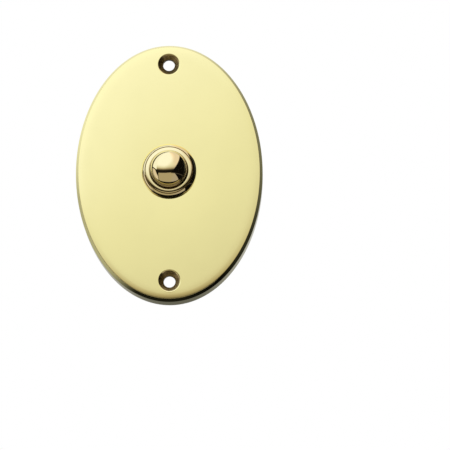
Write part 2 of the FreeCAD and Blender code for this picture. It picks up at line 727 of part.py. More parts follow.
def build_fixed_contact():
    """Strip bent twice, which stands off behind the leaf."""
    body = new_body("fixed_contact")
    profile = new_sketch(body, "bridge_profile", "XY_Plane", "-Sizes.strip_width / 2")
    foot_end = f"{TERMINAL_OFFSET} + Sizes.strip_end_reach"
    riser_right = f"({TERMINAL_OFFSET} - Sizes.bridge_riser)"
    riser_left = f"({riser_right} - Sizes.bridge_thickness)"
    arm_end = "-Sizes.bridge_overhang"
    foot_back = f"({BASE_BACK} + Sizes.bridge_thickness)"
    draw_outline(profile, [
        (foot_end, BASE_BACK),
        (foot_end, foot_back),
        (riser_right, foot_back),
        (riser_right, BRIDGE_BACK),
        (arm_end, BRIDGE_BACK),
        (arm_end, BRIDGE_FRONT),
        (riser_left, BRIDGE_FRONT),
        (riser_left, BASE_BACK),
    ])
    bent = pad(body, "bridge", profile, "Sizes.strip_width")
    outside = (
        (value(riser_left), value(BASE_BACK)),
        (value(riser_right), value(BRIDGE_BACK)),
    )
    inside = (
        (value(riser_right), value(foot_back)),
        (value(riser_left), value(BRIDGE_FRONT)),
    )
    rounded = soften(body, "Fillet", "outer_bends", bent, "Sizes.bridge_bend_radius",
                     lambda edge: runs_up_at(edge, outside))
    soften(body, "Fillet", "inner_bends", rounded,
           "Sizes.bridge_bend_radius - Sizes.bridge_thickness",
           lambda edge: runs_up_at(edge, inside))

    holes = new_sketch(body, "bridge_holes", "XZ_Plane", f"-{BASE_BACK}")
    draw_circle(holes, TERMINAL_OFFSET, "0",
                "Sizes.terminal_screw_radius + Sizes.base_hole_clearance")
    draw_circle(holes, "0", "0", "Sizes.rivet_shank_radius")
    pocket(body, "bridge_openings", holes, f"{BRIDGE_BACK} - {BASE_BACK}")
    return body


def runs_up_at(edge, places):
    """Whether an edge stands along Z at one of some places in X and Y."""
    box = edge.BoundBox
    if box.XLength > NEAR or box.YLength > NEAR:
        return False
    return any(abs(box.XMin - x) < NEAR and abs(box.YMin - y) < NEAR for x, y in places)


def build_contact_rivet_moving():
    """Contact point on the back of the leaf."""
    body = new_body("contact_rivet_moving")
    revolve(body, "moving_point", [
        ("0", BASE_BACK),
        ("Sizes.rivet_shank_radius", BASE_BACK),
        ("Sizes.rivet_shank_radius", LEAF_BACK),
        ("Sizes.rivet_head_radius", LEAF_BACK),
        ("Sizes.rivet_head_radius", MOVING_POINT),
        ("0", MOVING_POINT),
    ])
    return body


def build_contact_rivet_fixed():
    """Contact point on the front of the bent strip."""
    body = new_body("contact_rivet_fixed")
    tail = f"({BRIDGE_BACK} + Sizes.rivet_tail)"
    revolve(body, "fixed_point", [
        ("0", FIXED_POINT),
        ("Sizes.rivet_head_radius", FIXED_POINT),
        ("Sizes.rivet_head_radius", BRIDGE_FRONT),
        ("Sizes.rivet_shank_radius", BRIDGE_FRONT),
        ("Sizes.rivet_shank_radius", BRIDGE_BACK),
        ("Sizes.rivet_head_radius - Sizes.rivet_tail", BRIDGE_BACK),
        ("Sizes.rivet_shank_radius", tail),
        ("0", tail),
    ])
    return body


# Fasteners of the contact base, each turned about its own Y axis and then placed


def move_body(body, across, along, up):
    """Stand a finished fastener in its place."""
    body.setExpression("Placement.Base.x", across)
    body.setExpression("Placement.Base.y", along)
    body.setExpression("Placement.Base.z", up)
    doc.recompute()


def build_slotted_screw(label, thread_radius, length, head_radius, head_height):
    """Screw whose head bears at Y = 0 and whose thread points to -Y."""
    body = new_body(label)
    revolve(body, label + "_turning", [
        ("0", f"-({length})"),
        (f"{thread_radius} - Sizes.screw_point_chamfer", f"-({length})"),
        (thread_radius, f"-({length}) + Sizes.screw_point_chamfer"),
        (thread_radius, "0"),
        (head_radius, "0"),
        (head_radius, f"{head_height} - Sizes.screw_head_chamfer"),
        (f"{head_radius} - Sizes.screw_head_chamfer", head_height),
        ("0", head_height),
    ])
    slot = new_sketch(body, label + "_slot", "XZ_Plane", f"-({head_height})")
    half = "Sizes.slot_width / 2"
    reach = f"({head_radius} + Sizes.slot_width)"
    draw_outline(slot, rectangle(f"-{half}", half, f"-{reach}", reach))
    pocket(body, label + "_slot_cut", slot, "Sizes.slot_depth", True)
    return body


def build_plain_washer(label, bore, radius, thickness):
    """Flat washer from Y = 0 back."""
    body = new_body(label)
    ring = new_sketch(body, label + "_ring", "XZ_Plane")
    draw_circle(ring, "0", "0", radius)
    draw_circle(ring, "0", "0", bore)
    pad(body, label + "_blank", ring, thickness, True)
    return body


def build_base_screw_and_washer(position, side):
    """Screw and split washer that hold the base to one boss."""
    up = f"{side}{BASE_SCREW_OFFSET}"
    bore = "(Sizes.base_screw_radius + Sizes.base_hole_clearance)"
    label = f"base_spring_washer_{position}"
    washer = build_plain_washer(label, bore, f"{bore} + Sizes.spring_washer_width",
                                "Sizes.spring_washer_thickness")
    cut = new_sketch(washer, label + "_cut", "XZ_Plane")
    half = "Sizes.spring_washer_gap / 2"
    outside = f"{bore} + Sizes.spring_washer_width + Sizes.spring_washer_gap"
    draw_outline(cut, rectangle("0", outside, f"-{half}", half))
    pocket(washer, label + "_split", cut, "Sizes.spring_washer_thickness")
    move_body(washer, "0", BASE_BACK, up)

    screw = build_slotted_screw(f"base_screw_{position}", "Sizes.base_screw_radius",
                                "Sizes.base_screw_length", "Sizes.base_screw_head_radius",
                                "Sizes.base_screw_head_height")
    move_body(screw, "0", f"{BASE_BACK} + Sizes.spring_washer_thickness", up)
    return [washer, screw]


def build_terminal(position, side, strip_thickness):
    """Screw, washer and trapped nut of one terminal."""
    across = f"{side}{TERMINAL_OFFSET}"
    seat = f"({BASE_BACK} + {strip_thickness})"
    washer = build_plain_washer(f"terminal_washer_{position}",
                                "Sizes.terminal_screw_radius + Sizes.base_hole_clearance",
                                "Sizes.terminal_washer_radius", "Sizes.terminal_washer_thickness")
    move_body(washer, across, seat, "0")

    head_seat = f"({seat} + Sizes.terminal_washer_thickness)"
    nut_seat = f"({BASE_FRONT} + Sizes.terminal_nut_thickness + Sizes.terminal_pocket_clearance)"
    reach = f"{head_seat} - {nut_seat} + Sizes.terminal_nut_thickness + Sizes.terminal_screw_tail"
    screw = build_slotted_screw(f"terminal_screw_{position}", "Sizes.terminal_screw_radius", reach,
                                "Sizes.terminal_head_radius", "Sizes.terminal_head_height")
    move_body(screw, across, head_seat, "0")

    nut = new_body(f"terminal_nut_{position}")
    outline = new_sketch(nut, f"terminal_hexagon_{position}", "XZ_Plane")
    draw_outline(outline, hexagon("0", "0", "Sizes.terminal_nut_flats"))
    draw_circle(outline, "0", "0",
                "Sizes.terminal_screw_radius + Sizes.thread_clearance")
    pad(nut, f"terminal_nut_blank_{position}", outline, "Sizes.terminal_nut_thickness")
    move_body(nut, across, nut_seat, "0")
    return [washer, screw, nut]


parts = [
    build_face_plate(),
    build_collar(),
    build_collar_lock_washer(),
    build_collar_nut(),
    build_push_button(),
    build_plunger_tip(),
    build_return_spring(),
    build_contact_base(),
    build_moving_contact(),
    build_fixed_contact(),
    build_contact_rivet_moving(),
    build_contact_rivet_fixed(),
]
parts += build_terminal("left", "-", "Sizes.leaf_thickness")
parts += build_terminal("right", "", "Sizes.bridge_thickness")
parts += build_base_screw_and_washer("top", "")
parts += build_base_screw_and_washer("bottom", "-")

# Check every object, then write one file for each sub-part

doc.recompute()
for item in doc.Objects:
    if "Invalid" in item.State or "Error" in item.State:
        raise RuntimeError(f"{item.Label} did not build: {item.State}")
for item in parts:
    shape = item.Shape
    if shape.isNull() or not shape.isValid() or not shape.Solids:
        raise RuntimeError(f"{item.Label} has no valid solid")
    if len(shape.Solids) != 1:
        raise RuntimeError(f"{item.Label} is {len(shape.Solids)} solids")
for item in parts:
    item.Shape.exportStep(f"parts/{item.Label}.step")
    box = item.Shape.BoundBox
    print(
        f"{item.Label:26s} volume {item.Shape.Volume:9.2f}"
        f"  x {box.XMin:7.2f} {box.XMax:7.2f}"
        f"  y {box.YMin:7.2f} {box.YMax:7.2f}"
        f"  z {box.ZMin:7.2f} {box.ZMax:7.2f}"
    )
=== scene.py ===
"""Oval brass bell push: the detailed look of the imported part, and its studio.

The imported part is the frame. Each operator makes one piece, or a group of like
pieces, in the place that the frame gives it. Sizes are in metres, +Z is up, the
front faces -Y, and the origin is where the button's axis meets the wall.
"""

import math
from functools import reduce

import bmesh
import bpy
from bpy.props import FloatProperty, FloatVectorProperty, IntProperty, PointerProperty
from mathutils import Matrix, Vector
from mathutils.geometry import delaunay_2d_cdt
from mathutils.kdtree import KDTree


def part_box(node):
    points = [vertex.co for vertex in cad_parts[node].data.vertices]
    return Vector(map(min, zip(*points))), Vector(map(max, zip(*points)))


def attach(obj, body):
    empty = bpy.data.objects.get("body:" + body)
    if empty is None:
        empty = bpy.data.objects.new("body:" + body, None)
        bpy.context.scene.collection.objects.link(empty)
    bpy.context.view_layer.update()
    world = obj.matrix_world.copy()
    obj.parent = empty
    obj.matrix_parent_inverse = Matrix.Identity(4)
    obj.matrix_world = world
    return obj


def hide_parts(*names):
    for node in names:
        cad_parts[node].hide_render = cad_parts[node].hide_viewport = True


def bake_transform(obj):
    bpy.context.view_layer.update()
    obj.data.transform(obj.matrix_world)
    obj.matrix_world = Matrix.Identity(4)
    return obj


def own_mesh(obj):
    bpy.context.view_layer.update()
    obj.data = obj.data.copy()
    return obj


bl_info = {
    "name": "Bell push",
    "version": (1, 0, 0),
    "blender": (4, 5, 0),
    "location": "3D View > Sidebar > Bell push",
    "description": "Makes an oval brass bell push with its switch, and a studio for it",
    "category": "Object",
}

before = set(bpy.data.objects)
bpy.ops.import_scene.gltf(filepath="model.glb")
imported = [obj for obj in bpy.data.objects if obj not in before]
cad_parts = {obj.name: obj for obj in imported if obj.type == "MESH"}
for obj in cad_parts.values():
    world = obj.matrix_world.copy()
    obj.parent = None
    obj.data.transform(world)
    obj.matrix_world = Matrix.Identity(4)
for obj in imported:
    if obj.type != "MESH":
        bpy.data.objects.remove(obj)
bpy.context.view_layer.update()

# Places that the frame gives

PLATE_LOW, PLATE_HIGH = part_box("face_plate")
COLLAR_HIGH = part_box("collar")[1]
BUTTON_LOW, BUTTON_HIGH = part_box("push_button")
NUT_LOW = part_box("collar_nut")[0]
BASE_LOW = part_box("contact_base")[0]
SPRING_LOW, SPRING_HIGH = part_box("return_spring")
FACE_Y = PLATE_LOW.y
WALL_Y = PLATE_HIGH.y
HALF_WIDTH = PLATE_HIGH.x
HALF_HEIGHT = PLATE_HIGH.z


def middle_of(node):
    """Middle of a node's box."""
    low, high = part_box(node)
    return (low + high) / 2


BOSS_OFFSET = middle_of("base_screw_top").z
TERMINAL_OFFSET = middle_of("terminal_nut_right").x

# How finely shapes are divided

TURNED_SIDES = 192
OVAL_SIDES = 256
HOLE_SIDES = 96
HEAD_SIDES = 64
WIRE_SIDES = 16
THREAD_SIDES = 49
THREAD_ROWS = 121
ARC_STEPS = 10
CORNER_STEPS = 4
BEAD_FLANK_STEPS = 16
BEAD_CREST_STEPS = 24
MOUTH_STEPS = 12
DOME_STEPS = 40
DOME_EDGE_STEPS = 12
SIDE_STEPS = 16
STEPS_PER_THREAD = 10
STEPS_PER_COIL = 40
FACE_SPACING = 0.0011
FLOOR_SPACING = 0.004
LEAF_SPACING = 0.0005
CLEAR_OF_EDGE = 0.6
LONG_RUN = 4.0
WELD = 1e-6

# Edges that turn by more than this many degrees look sharp

SHARP = 30.0
SHARP_ON_BUTTON = 50.0
SHARP_ON_COIL = 60.0

# Corners that turn by less than this stay, and a rounding takes this share of a side

STRAIGHT = math.radians(20)
SIDE_SHARE = 0.45

# Countersinks: rings outside the mouth in widths of its lip, fall of the lip, rings below

LIP_RINGS = (2.2, 1.3, 1.0)
LIP_FALL = 0.7
CONE_SHARES = (0.35, 0.7, 1.0)

# Depths behind the face, in depths of the slanted edge, where the plate's side goes on

SIDE_START = 3.0
SIDE_RINGS_START = 3.5

# Sets these materials apart from the frame's plain ones of the same names

FINISH_ENDING = "_finish"


def length(label, words, default):
    """A length that a user may change."""
    return FloatProperty(
        name=label, description=words, default=default, min=0.0, unit="LENGTH", precision=5
    )


def colour(label, words, default):
    """A colour that a user may change."""
    return FloatVectorProperty(
        name=label, description=words, default=default, size=3, min=0.0, max=1.0, subtype="COLOR"
    )


class PlateSizes(bpy.types.PropertyGroup):
    """Sizes of the oval plate."""

    edge_facet: length("Edge facet", "Slanted front edge, measured across", 0.00085)
    facet_depth: length("Facet depth", "Slanted front edge, measured front to back", 0.00145)
    edge_round: length("Edge rounding", "Rounding at both sides of the facet", 0.00024)
    ring_start: length("Ring start", "Inset where rings round the edge begin", 0.0024)
    crown: length("Crown", "How far the face falls from its middle to its edge", 0.0005)
    crown_flat: length("Flat seat", "Radius of the flat that the collar sits on", 0.0092)
    roll_width: length("Buffed width", "Band inside the edge that polishing wore down", 0.0032)
    roll_drop: length("Buffed drop", "How far that band falls at the edge", 0.00022)
    face_metal: length("Face metal", "Metal behind the face", 0.0035)
    rim_wall: length("Rim wall", "Wall round the hollow back", 0.0032)
    rim_chamfer: length("Rim chamfer", "Broken edge at the wall", 0.0003)
    corner_radius: length("Inside corner", "Corner of the hollow back", 0.001)
    screw_spacing: length("Screw spacing", "Between the two wall screw holes", 0.071)
    bore_radius: length("Screw hole", "Radius of a wall screw hole", 0.0019)
    sink_radius: length("Countersink", "Radius of a countersink at the face", 0.00345)
    sink_lip: length("Countersink lip", "Rounding that polishing gave its edge", 0.00022)
    opening_radius: length("Collar hole", "Radius of the hole for the barrel", 0.0076)
    boss_radius: length("Boss radius", "Bosses that carry the contact base", 0.0026)
    tapped_radius: length("Tapped hole", "Radius of a tapped hole in a boss", 0.00123)
    tapped_depth: length("Tapped depth", "Depth of a tapped hole", 0.003)


class CollarSizes(bpy.types.PropertyGroup):
    """Sizes of the turned collar."""

    crest_radius: length("Crest", "Radius at the crest of the bead", 0.0064)
    bead_height: length("Bead height", "Crest above the plate", 0.0025)
    bead_round: length("Bead section", "Section radius outside the crest", 0.00272)
    mouth_round: length("Mouth", "Section radius inside the crest", 0.0004)
    groove_place: length("Groove place", "Radius of the middle of the fine groove", 0.0076)
    groove_width: length("Groove width", "Width of the fine groove", 0.00032)
    groove_depth: length("Groove depth", "Depth of the fine groove", 0.00026)
    guide_radius: length("Guide bore", "Radius that the button slides in", 0.00595)
    guide_end: length("Guide end", "End of the guide behind the face", 0.001)
    spring_bore: length("Spring bore", "Bore of the barrel", 0.00645)
    barrel_radius: length("Barrel", "Radius of the threaded barrel", 0.0075)
    barrel_chamfer: length("Barrel lead", "Chamfer at the end of the thread", 0.0004)
    edge_round: length("Edge rounding", "Small rounding of turned edges", 0.00012)
    thread_pitch: length("Thread pitch", "Pitch of the barrel's thread", 0.001)
    thread_depth: length("Thread depth", "Depth of the barrel's thread", 0.0004)


class ButtonSizes(bpy.types.PropertyGroup):
    """Sizes of the domed button."""

    radius: length("Button", "Radius of the head", 0.00585)
    ball: length("Ball", "Radius of the dome's ball", 0.0076)
    edge_round: length("Dome edge", "Rounding at the edge of the dome", 0.0011)
    dome_turn: FloatProperty(
        name="Dome turn", description="Slope of the dome where its rounded edge begins",
        default=math.radians(43.0), subtype="ANGLE",
    )
    side_turn: FloatProperty(
        name="Side turn", description="Slope where the edge runs into the swelling side",
        default=math.radians(76.0), subtype="ANGLE",
    )
    flange_thickness: length("Flange", "Thickness of the flange", 0.0012)
    stem_radius: length("Stem", "Radius of the stem", 0.0016)
    small_round: length("Edge rounding", "Small rounding of turned edges", 0.0001)


class SwitchSizes(bpy.types.PropertyGroup):
    """Sizes of the switch behind the plate."""

    wire_radius: length("Spring wire", "Radius of the spring wire", 0.00025)
    mean_radius: length("Spring radius", "Centre of the wire from the axis", 0.00335)
    closed_pitch: length("Closed pitch", "Pitch of the closed end turns", 0.00055)
    spring_turns: IntProperty(name="Spring turns", description="Turns of the spring", default=5)
    closed_turns: IntProperty(name="Closed turns", description="Closed at each end", default=1)
    moulded_edge: length("Moulded edge", "Rounding of moulded edges", 0.00018)
    pressed_edge: length("Pressed edge", "Rounding of pressed edges", 0.00006)
    terminal_washer: length("Terminal washer", "Radius of a terminal washer", 0.0029)
    terminal_thread: length("Terminal thread", "Radius of a terminal screw", 0.00145)
    base_thread: length("Base screw thread", "Radius of a base screw", 0.0012)
    slot_width: length("Slot width", "Screwdriver slots", 0.0007)
    slot_depth: length("Slot depth", "Screwdriver slots", 0.0008)
    head_chamfer: length("Head chamfer", "Top edge of a screw head", 0.00045)
    fine_pitch: length("Screw pitch", "Pitch of the small screws", 0.0005)
    fine_depth: length("Screw thread depth", "Thread depth of the small screws", 0.00022)


class FinishSettings(bpy.types.PropertyGroup):
    """Colours of the finishes."""

    brass: colour("Polished brass", "Plate", (0.97, 0.90, 0.42))
    turned_polish: colour("Turned polish", "Collar and button", (0.96, 0.87, 0.47))
    # Painted shade: the darker colour of the button's side stands for its dark reflections, over
    # real rubbed wear
    rubbed: colour("Rubbed brass", "Side of the button", (0.46, 0.39, 0.27))
    # Countersinks and the collar's groove: tarnished brass whose darker colour is also painted
    # shade in these recesses
    sink: colour("Countersink", "Machined and tarnished brass", (0.50, 0.41, 0.19))
    cast: colour("Cast brass", "Hollow back as cast", (0.50, 0.40, 0.18))
    turned: colour("Turned brass", "Nuts, washers and terminals", (0.78, 0.62, 0.30))
    bronze: colour("Phosphor bronze", "Spring contact", (0.74, 0.46, 0.26))
    silver: colour("Contact silver", "Contact points", (0.86, 0.85, 0.82))
    zinc: colour("Zinc plate", "Plated steel screws and washers", (0.66, 0.67, 0.68))
    wire: colour("Spring wire", "Drawn steel wire", (0.52, 0.53, 0.55))
    black: colour("Black moulding", "Moulded contact base", (0.025, 0.024, 0.023))
    white: colour("White moulding", "Insulating tip", (0.86, 0.84, 0.78))


class StageSettings(bpy.types.PropertyGroup):
    """Camera and light."""

    azimuth: FloatProperty(
        name="Azimuth", description="Camera to the right of the axis",
        default=math.radians(2.0), subtype="ANGLE",
    )
    elevation: FloatProperty(
        name="Elevation", description="Camera above the button's height",
        default=math.radians(-12.0), subtype="ANGLE",
    )
    roll: FloatProperty(
        name="Roll", description="Turn of the camera about its own axis",
        default=math.radians(-0.35), subtype="ANGLE",
    )
    distance: length("Distance", "Camera to the middle of the face", 0.9)
    across: length("Aim right", "Aim point to the right of the middle", 0.0179)
    down: length("Aim down", "Aim point below the middle", 0.0172)
    view_width: length("View width", "Width seen at the face", 0.1442)
    floor_drop: length("Floor", "Floor below the button's axis", 0.42)
    floor_radius: length("Floor radius", "Radius of the floor", 4.0)
    key_light: FloatProperty(
        name="Lamps", description="Power of each soft lamp", default=5.0, min=0.0
    )


GROUPS = {
    "plate": PlateSizes,
    "collar": CollarSizes,
    "button": ButtonSizes,
    "switch": SwitchSizes,
    "finish": FinishSettings,
    "stage": StageSettings,
}


# Node trees

NUMBER = "NodeSocketFloat"
VECTOR = "NodeSocketVector"
SOCKET_TYPES = {float: NUMBER, int: "NodeSocketInt", tuple: "NodeSocketColor"}


class Graph:
    """Adds nodes to a tree and joins them."""

    def __init__(self, tree):
        self.tree = tree

    def feed(self, socket, source):
        """Join a socket to another one, or give it a value."""
        if isinstance(source, bpy.types.NodeSocket):
            self.tree.links.new(source, socket)
        else:
            socket.default_value = source

    def add(self, kind, inputs=None, **settings):
        """A new node with its settings and inputs."""
        node = self.tree.nodes.new(kind)
        for name, setting in settings.items():
            setattr(node, name, setting)
        for name, source in (inputs or {}).items():
            self.feed(node.inputs[name], source)
        return node

    def sum(self, kind, operation, operands):
        """The outputs of a sum."""
        node = self.add(kind, operation=operation)
        for socket, operand in zip(node.inputs, operands):
            self.feed(socket, operand)
        return node.outputs

    def math(self, operation, *operands):
        """The result of a sum on numbers."""
        return self.sum("ShaderNodeMath", operation, operands)[0]

    def dot(self, *vectors):
        """How far one vector reaches along another."""
        return self.sum("ShaderNodeVectorMath", "DOT_PRODUCT", vectors)["Value"]

    def times(self, *numbers):
        """The product of numbers."""
        return reduce(lambda one, two: self.math("MULTIPLY", one, two), numbers)

    def plus(self, *numbers):
        """The total of numbers."""
        return reduce(lambda one, two: self.math("ADD", one, two), numbers)

    def minus(self, number, taken):
        """The difference of two numbers."""
        return self.math("SUBTRACT", number, taken)

    def over(self, number, divisor):
        """One number divided by another."""
        return self.math("DIVIDE", number, divisor)

    def held(self, number, top):
        """A number held between 0 and a top."""
        return self.math("MINIMUM", top, self.math("MAXIMUM", 0.0, number))

    def point(self, x=0.0, y=0.0, z=0.0):
        """A vector from its parts."""
        return self.add("ShaderNodeCombineXYZ", {"X": x, "Y": y, "Z": z}).outputs[0]

    def around(self, radius, angle, place):
        """A point at a radius and an angle about the Y axis."""
        return self.point(self.times(radius, self.math("COSINE", angle)), place,
                          self.times(radius, self.math("SINE", angle)))

    def smooth(self, number, low, high, start=0.0, end=1.0):
        """A soft step from start to end while a number goes from low to high."""
        node = self.add(
            "ShaderNodeMapRange",
            {"Value": number, "From Min": low, "From Max": high, "To Min": start, "To Max": end},
            interpolation_type="SMOOTHSTEP",
        )
        return node.outputs["Result"]

    def blend(self, share, first, second):
        """A mix of two colours."""
        node = self.add("ShaderNodeMix", data_type="RGBA")
        for place, source in ((0, share), (6, first), (7, second)):
            self.feed(node.inputs[place], source)
        return node.outputs[2]

    def blend_numbers(self, share, first, second):
        """A mix of two numbers."""
        node = self.add("ShaderNodeMix", data_type="FLOAT")
        for place, source in ((0, share), (2, first), (3, second)):
            self.feed(node.inputs[place], source)
        return node.outputs[0]

    def ramp(self, number, stops):
        """A grey ramp through (place, value) stops."""
        node = self.add("ShaderNodeValToRGB", {"Fac": number})
        elements = node.color_ramp.elements
        while len(elements) < len(stops):
            elements.new(0.5)
        for element, (place, shade) in zip(elements, stops):
            element.position = place
            element.color = (shade, shade, shade, 1.0)
        return self.add("ShaderNodeSeparateColor", {"Color": node.outputs["Color"]}).outputs[0]

    def noise(self, place, scale, detail=2.0, roughness=0.5):
        """Cloudy noise at a place."""
        node = self.add("ShaderNodeTexNoise", {
            "Vector": place, "Scale": scale, "Detail": detail, "Roughness": roughness,
        })
        return node.outputs["Fac"]

    def stretched(self, place, scale, turn):
        """A place turned about Y, in degrees, and stretched."""
        node = self.add("ShaderNodeMapping", {
            "Vector": place, "Scale": scale, "Rotation": (0.0, math.radians(turn), 0.0),
        })
        return node.outputs["Vector"]


def new_group(name, kind, inputs, outputs):
    """An empty node group; inputs have a value or a socket's type, outputs a type."""
    tree = bpy.data.node_groups.new(name, kind)
    for label, given in inputs.items():
        typed = isinstance(given, str)
        wanted = given if typed else SOCKET_TYPES[type(given)]
        socket = tree.interface.new_socket(label, in_out="INPUT", socket_type=wanted)
        if not typed:
            socket.default_value = given
    for label, wanted in outputs.items():
        tree.interface.new_socket(label, in_out="OUTPUT", socket_type=wanted)
    graph = Graph(tree)
    return graph, graph.add("NodeGroupInput").outputs, graph.add("NodeGroupOutput").inputs


# Effects that several finishes share


def fine_marks_group():
    """Hairlines that a polishing cloth leaves, in two directions, and faint clouds."""
    graph, given, result = new_group(
        "Fine marks", "ShaderNodeTree",
        {"Place": VECTOR, "Scale": 900.0, "Roughness": 0.1, "Spread": 0.05},
        {"Height": NUMBER, "Roughness": NUMBER, "Clouds": NUMBER})
    across = graph.stretched(given["Place"], (1.0, 1.0, 0.06), 24)
    along = graph.stretched(given["Place"], (0.06, 1.0, 1.0), 17)
    lines = graph.times(*[graph.noise(way, given["Scale"], 3.0, 0.6) for way in (across, along)])
    clouds = graph.noise(given["Place"], 75.0, 3.0, 0.55)
    wear = graph.times(graph.smooth(clouds, 0.35, 0.75), given["Spread"])
    scuffs = graph.times(graph.smooth(lines, 0.28, 0.5), given["Spread"])
    graph.feed(result["Height"], lines)
    graph.feed(result["Roughness"], graph.plus(given["Roughness"], graph.plus(wear, scuffs)))
    graph.feed(result["Clouds"], clouds)
    return graph.tree


def turning_group():
    """Fine rings that a lathe tool leaves round the Y axis of a piece's middle."""
    graph, given, result = new_group(
        "Turning rings", "ShaderNodeTree",
        {"Place": VECTOR, "Pitch": 0.00012, "Roughness": 0.2, "Spread": 0.08},
        {"Height": NUMBER, "Roughness": NUMBER})
    parts = graph.add("ShaderNodeSeparateXYZ", {"Vector": given["Place"]}).outputs
    squares = [graph.times(parts[way], parts[way]) for way in ("X", "Z")]
    radius = graph.math("SQRT", graph.plus(*squares))
    turns = graph.over(graph.plus(radius, graph.times(parts["Y"], 0.7)), given["Pitch"])
    rings = graph.noise(graph.point(turns, graph.times(radius, 60.0)), 1.0, 2.0, 0.6)
    graph.feed(result["Height"], rings)
    graph.feed(result["Roughness"],
               graph.plus(given["Roughness"], graph.times(rings, given["Spread"])))
    return graph.tree


def tarnish_group():
    """Soft brown patches that handling leaves on bare metal."""
    graph, given, result = new_group(
        "Tarnish", "ShaderNodeTree",
        {"Place": VECTOR, "Colour": (1.0, 1.0, 1.0, 1.0), "Tarnished": (0.3, 0.2, 0.1, 1.0),
         "Amount": 0.3, "Scale": 300.0},
        {"Colour": "NodeSocketColor"})
    patches = graph.noise(given["Place"], given["Scale"], 5.0, 0.62)
    mask = graph.times(graph.smooth(patches, 0.42, 0.72), given["Amount"])
    graph.feed(result["Colour"], graph.blend(mask, given["Colour"], given["Tarnished"]))
    return graph.tree


def grain_group():
    """Even fine grain of cast, moulded or plated surfaces."""
    graph, given, result = new_group(
        "Surface grain", "ShaderNodeTree",
        {"Place": VECTOR, "Scale": 3000.0, "Roughness": 0.4, "Spread": 0.1},
        {"Height": NUMBER, "Roughness": NUMBER})
    fine = graph.noise(given["Place"], given["Scale"], 4.0, 0.6)
    broad = graph.noise(given["Place"], graph.times(given["Scale"], 0.12), 2.0)
    graph.feed(result["Height"], graph.plus(fine, graph.times(broad, 0.6)))
    graph.feed(result["Roughness"],
               graph.plus(given["Roughness"], graph.times(broad, given["Spread"])))
    return graph.tree


EFFECTS = {
    "marks": fine_marks_group,
    "turning": turning_group,
    "tarnish": tarnish_group,
    "grain": grain_group,
}


def effect(graph, name, **inputs):
    """One shared effect placed in a material with its own values."""
    label = "bell_push_" + name
    tree = bpy.data.node_groups.get(label)
    if tree is None:
        tree = EFFECTS[name]()
        tree.name = label
    node = graph.add("ShaderNodeGroup", node_tree=tree)
    graph.feed(node.inputs["Place"], graph.add("ShaderNodeTexCoord").outputs["Object"])
    for key, source in inputs.items():
        graph.feed(node.inputs[key.capitalize()], source)
    return node.outputs


# Finishes


def opaque(values):
    """A colour with its alpha."""
    return (values[0], values[1], values[2], 1.0)


def new_finish(name, **constants):
    """A material with its graph and its Principled shader."""
    material = bpy.data.materials.new(name + FINISH_ENDING)
    material.use_nodes = True
    shader = next(node for node in material.node_tree.nodes if node.type == "BSDF_PRINCIPLED")
    for label, setting in constants.items():
        shader.inputs[label.replace("_", " ")].default_value = setting
    return material, Graph(material.node_tree), shader


def dress(graph, shader, tone, roughness, height, distance, strength):
    """Give a shader its colour, its roughness and its small relief."""
    graph.feed(shader.inputs["Base Color"], tone)
    graph.feed(shader.inputs["Roughness"], roughness)
    relief = graph.add("ShaderNodeBump", {
        "Height": height, "Distance": distance, "Strength": strength,
    })
    graph.feed(shader.inputs["Normal"], relief.outputs["Normal"])


def cloudy(graph, marks, values, dimmed):
    """A colour that dims by a factor in the clouds between polishing marks."""
    return graph.blend(graph.smooth(marks["Clouds"], 0.3, 0.8), opaque(values),
                       opaque([shade * dimmed for shade in values]))


def polished_brass(settings):
    """Mirror finish of the plate, under thin lacquer."""
    material, graph, shader = new_finish("polished_brass", Metallic=1.0)
    marks = effect(graph, "marks", scale=1500.0, roughness=0.055, spread=0.03)
    tone = cloudy(graph, marks, settings.brass, 0.98)
    dress(graph, shader, tone, marks["Roughness"], marks["Height"], 0.000004, 0.25)
    return material


def turned_polish(settings):
    """Polished brass of the collar and the button, with faint lathe rings."""
    material, graph, shader = new_finish("turned_polish", Metallic=1.0)
    marks = effect(graph, "marks", scale=2500.0, roughness=0.035, spread=0.03)
    rings = effect(graph, "turning", pitch=0.00009, roughness=0.0, spread=0.03)
    tone = cloudy(graph, marks, settings.turned_polish, 0.96)
    roughness = graph.plus(marks["Roughness"], rings["Roughness"])
    dress(graph, shader, tone, roughness, rings["Height"], 0.000003, 0.2)
    return material


MIRROR_FINISHES = {"polished_brass": polished_brass, "turned_polish": turned_polish}

# Shader settings of metal and of the two mouldings

METAL = {"Metallic": 1.0}
PHENOLIC = {"IOR": 1.55}
NYLON = {"IOR": 1.53, "Subsurface_Weight": 0.15, "Subsurface_Scale": 0.0006}

# Each dull finish: its colour's setting and shader settings; its surface effect with the
# effect's fineness, roughness and spread; amount, scale and colour of its tarnish; and
# distance and strength of its relief

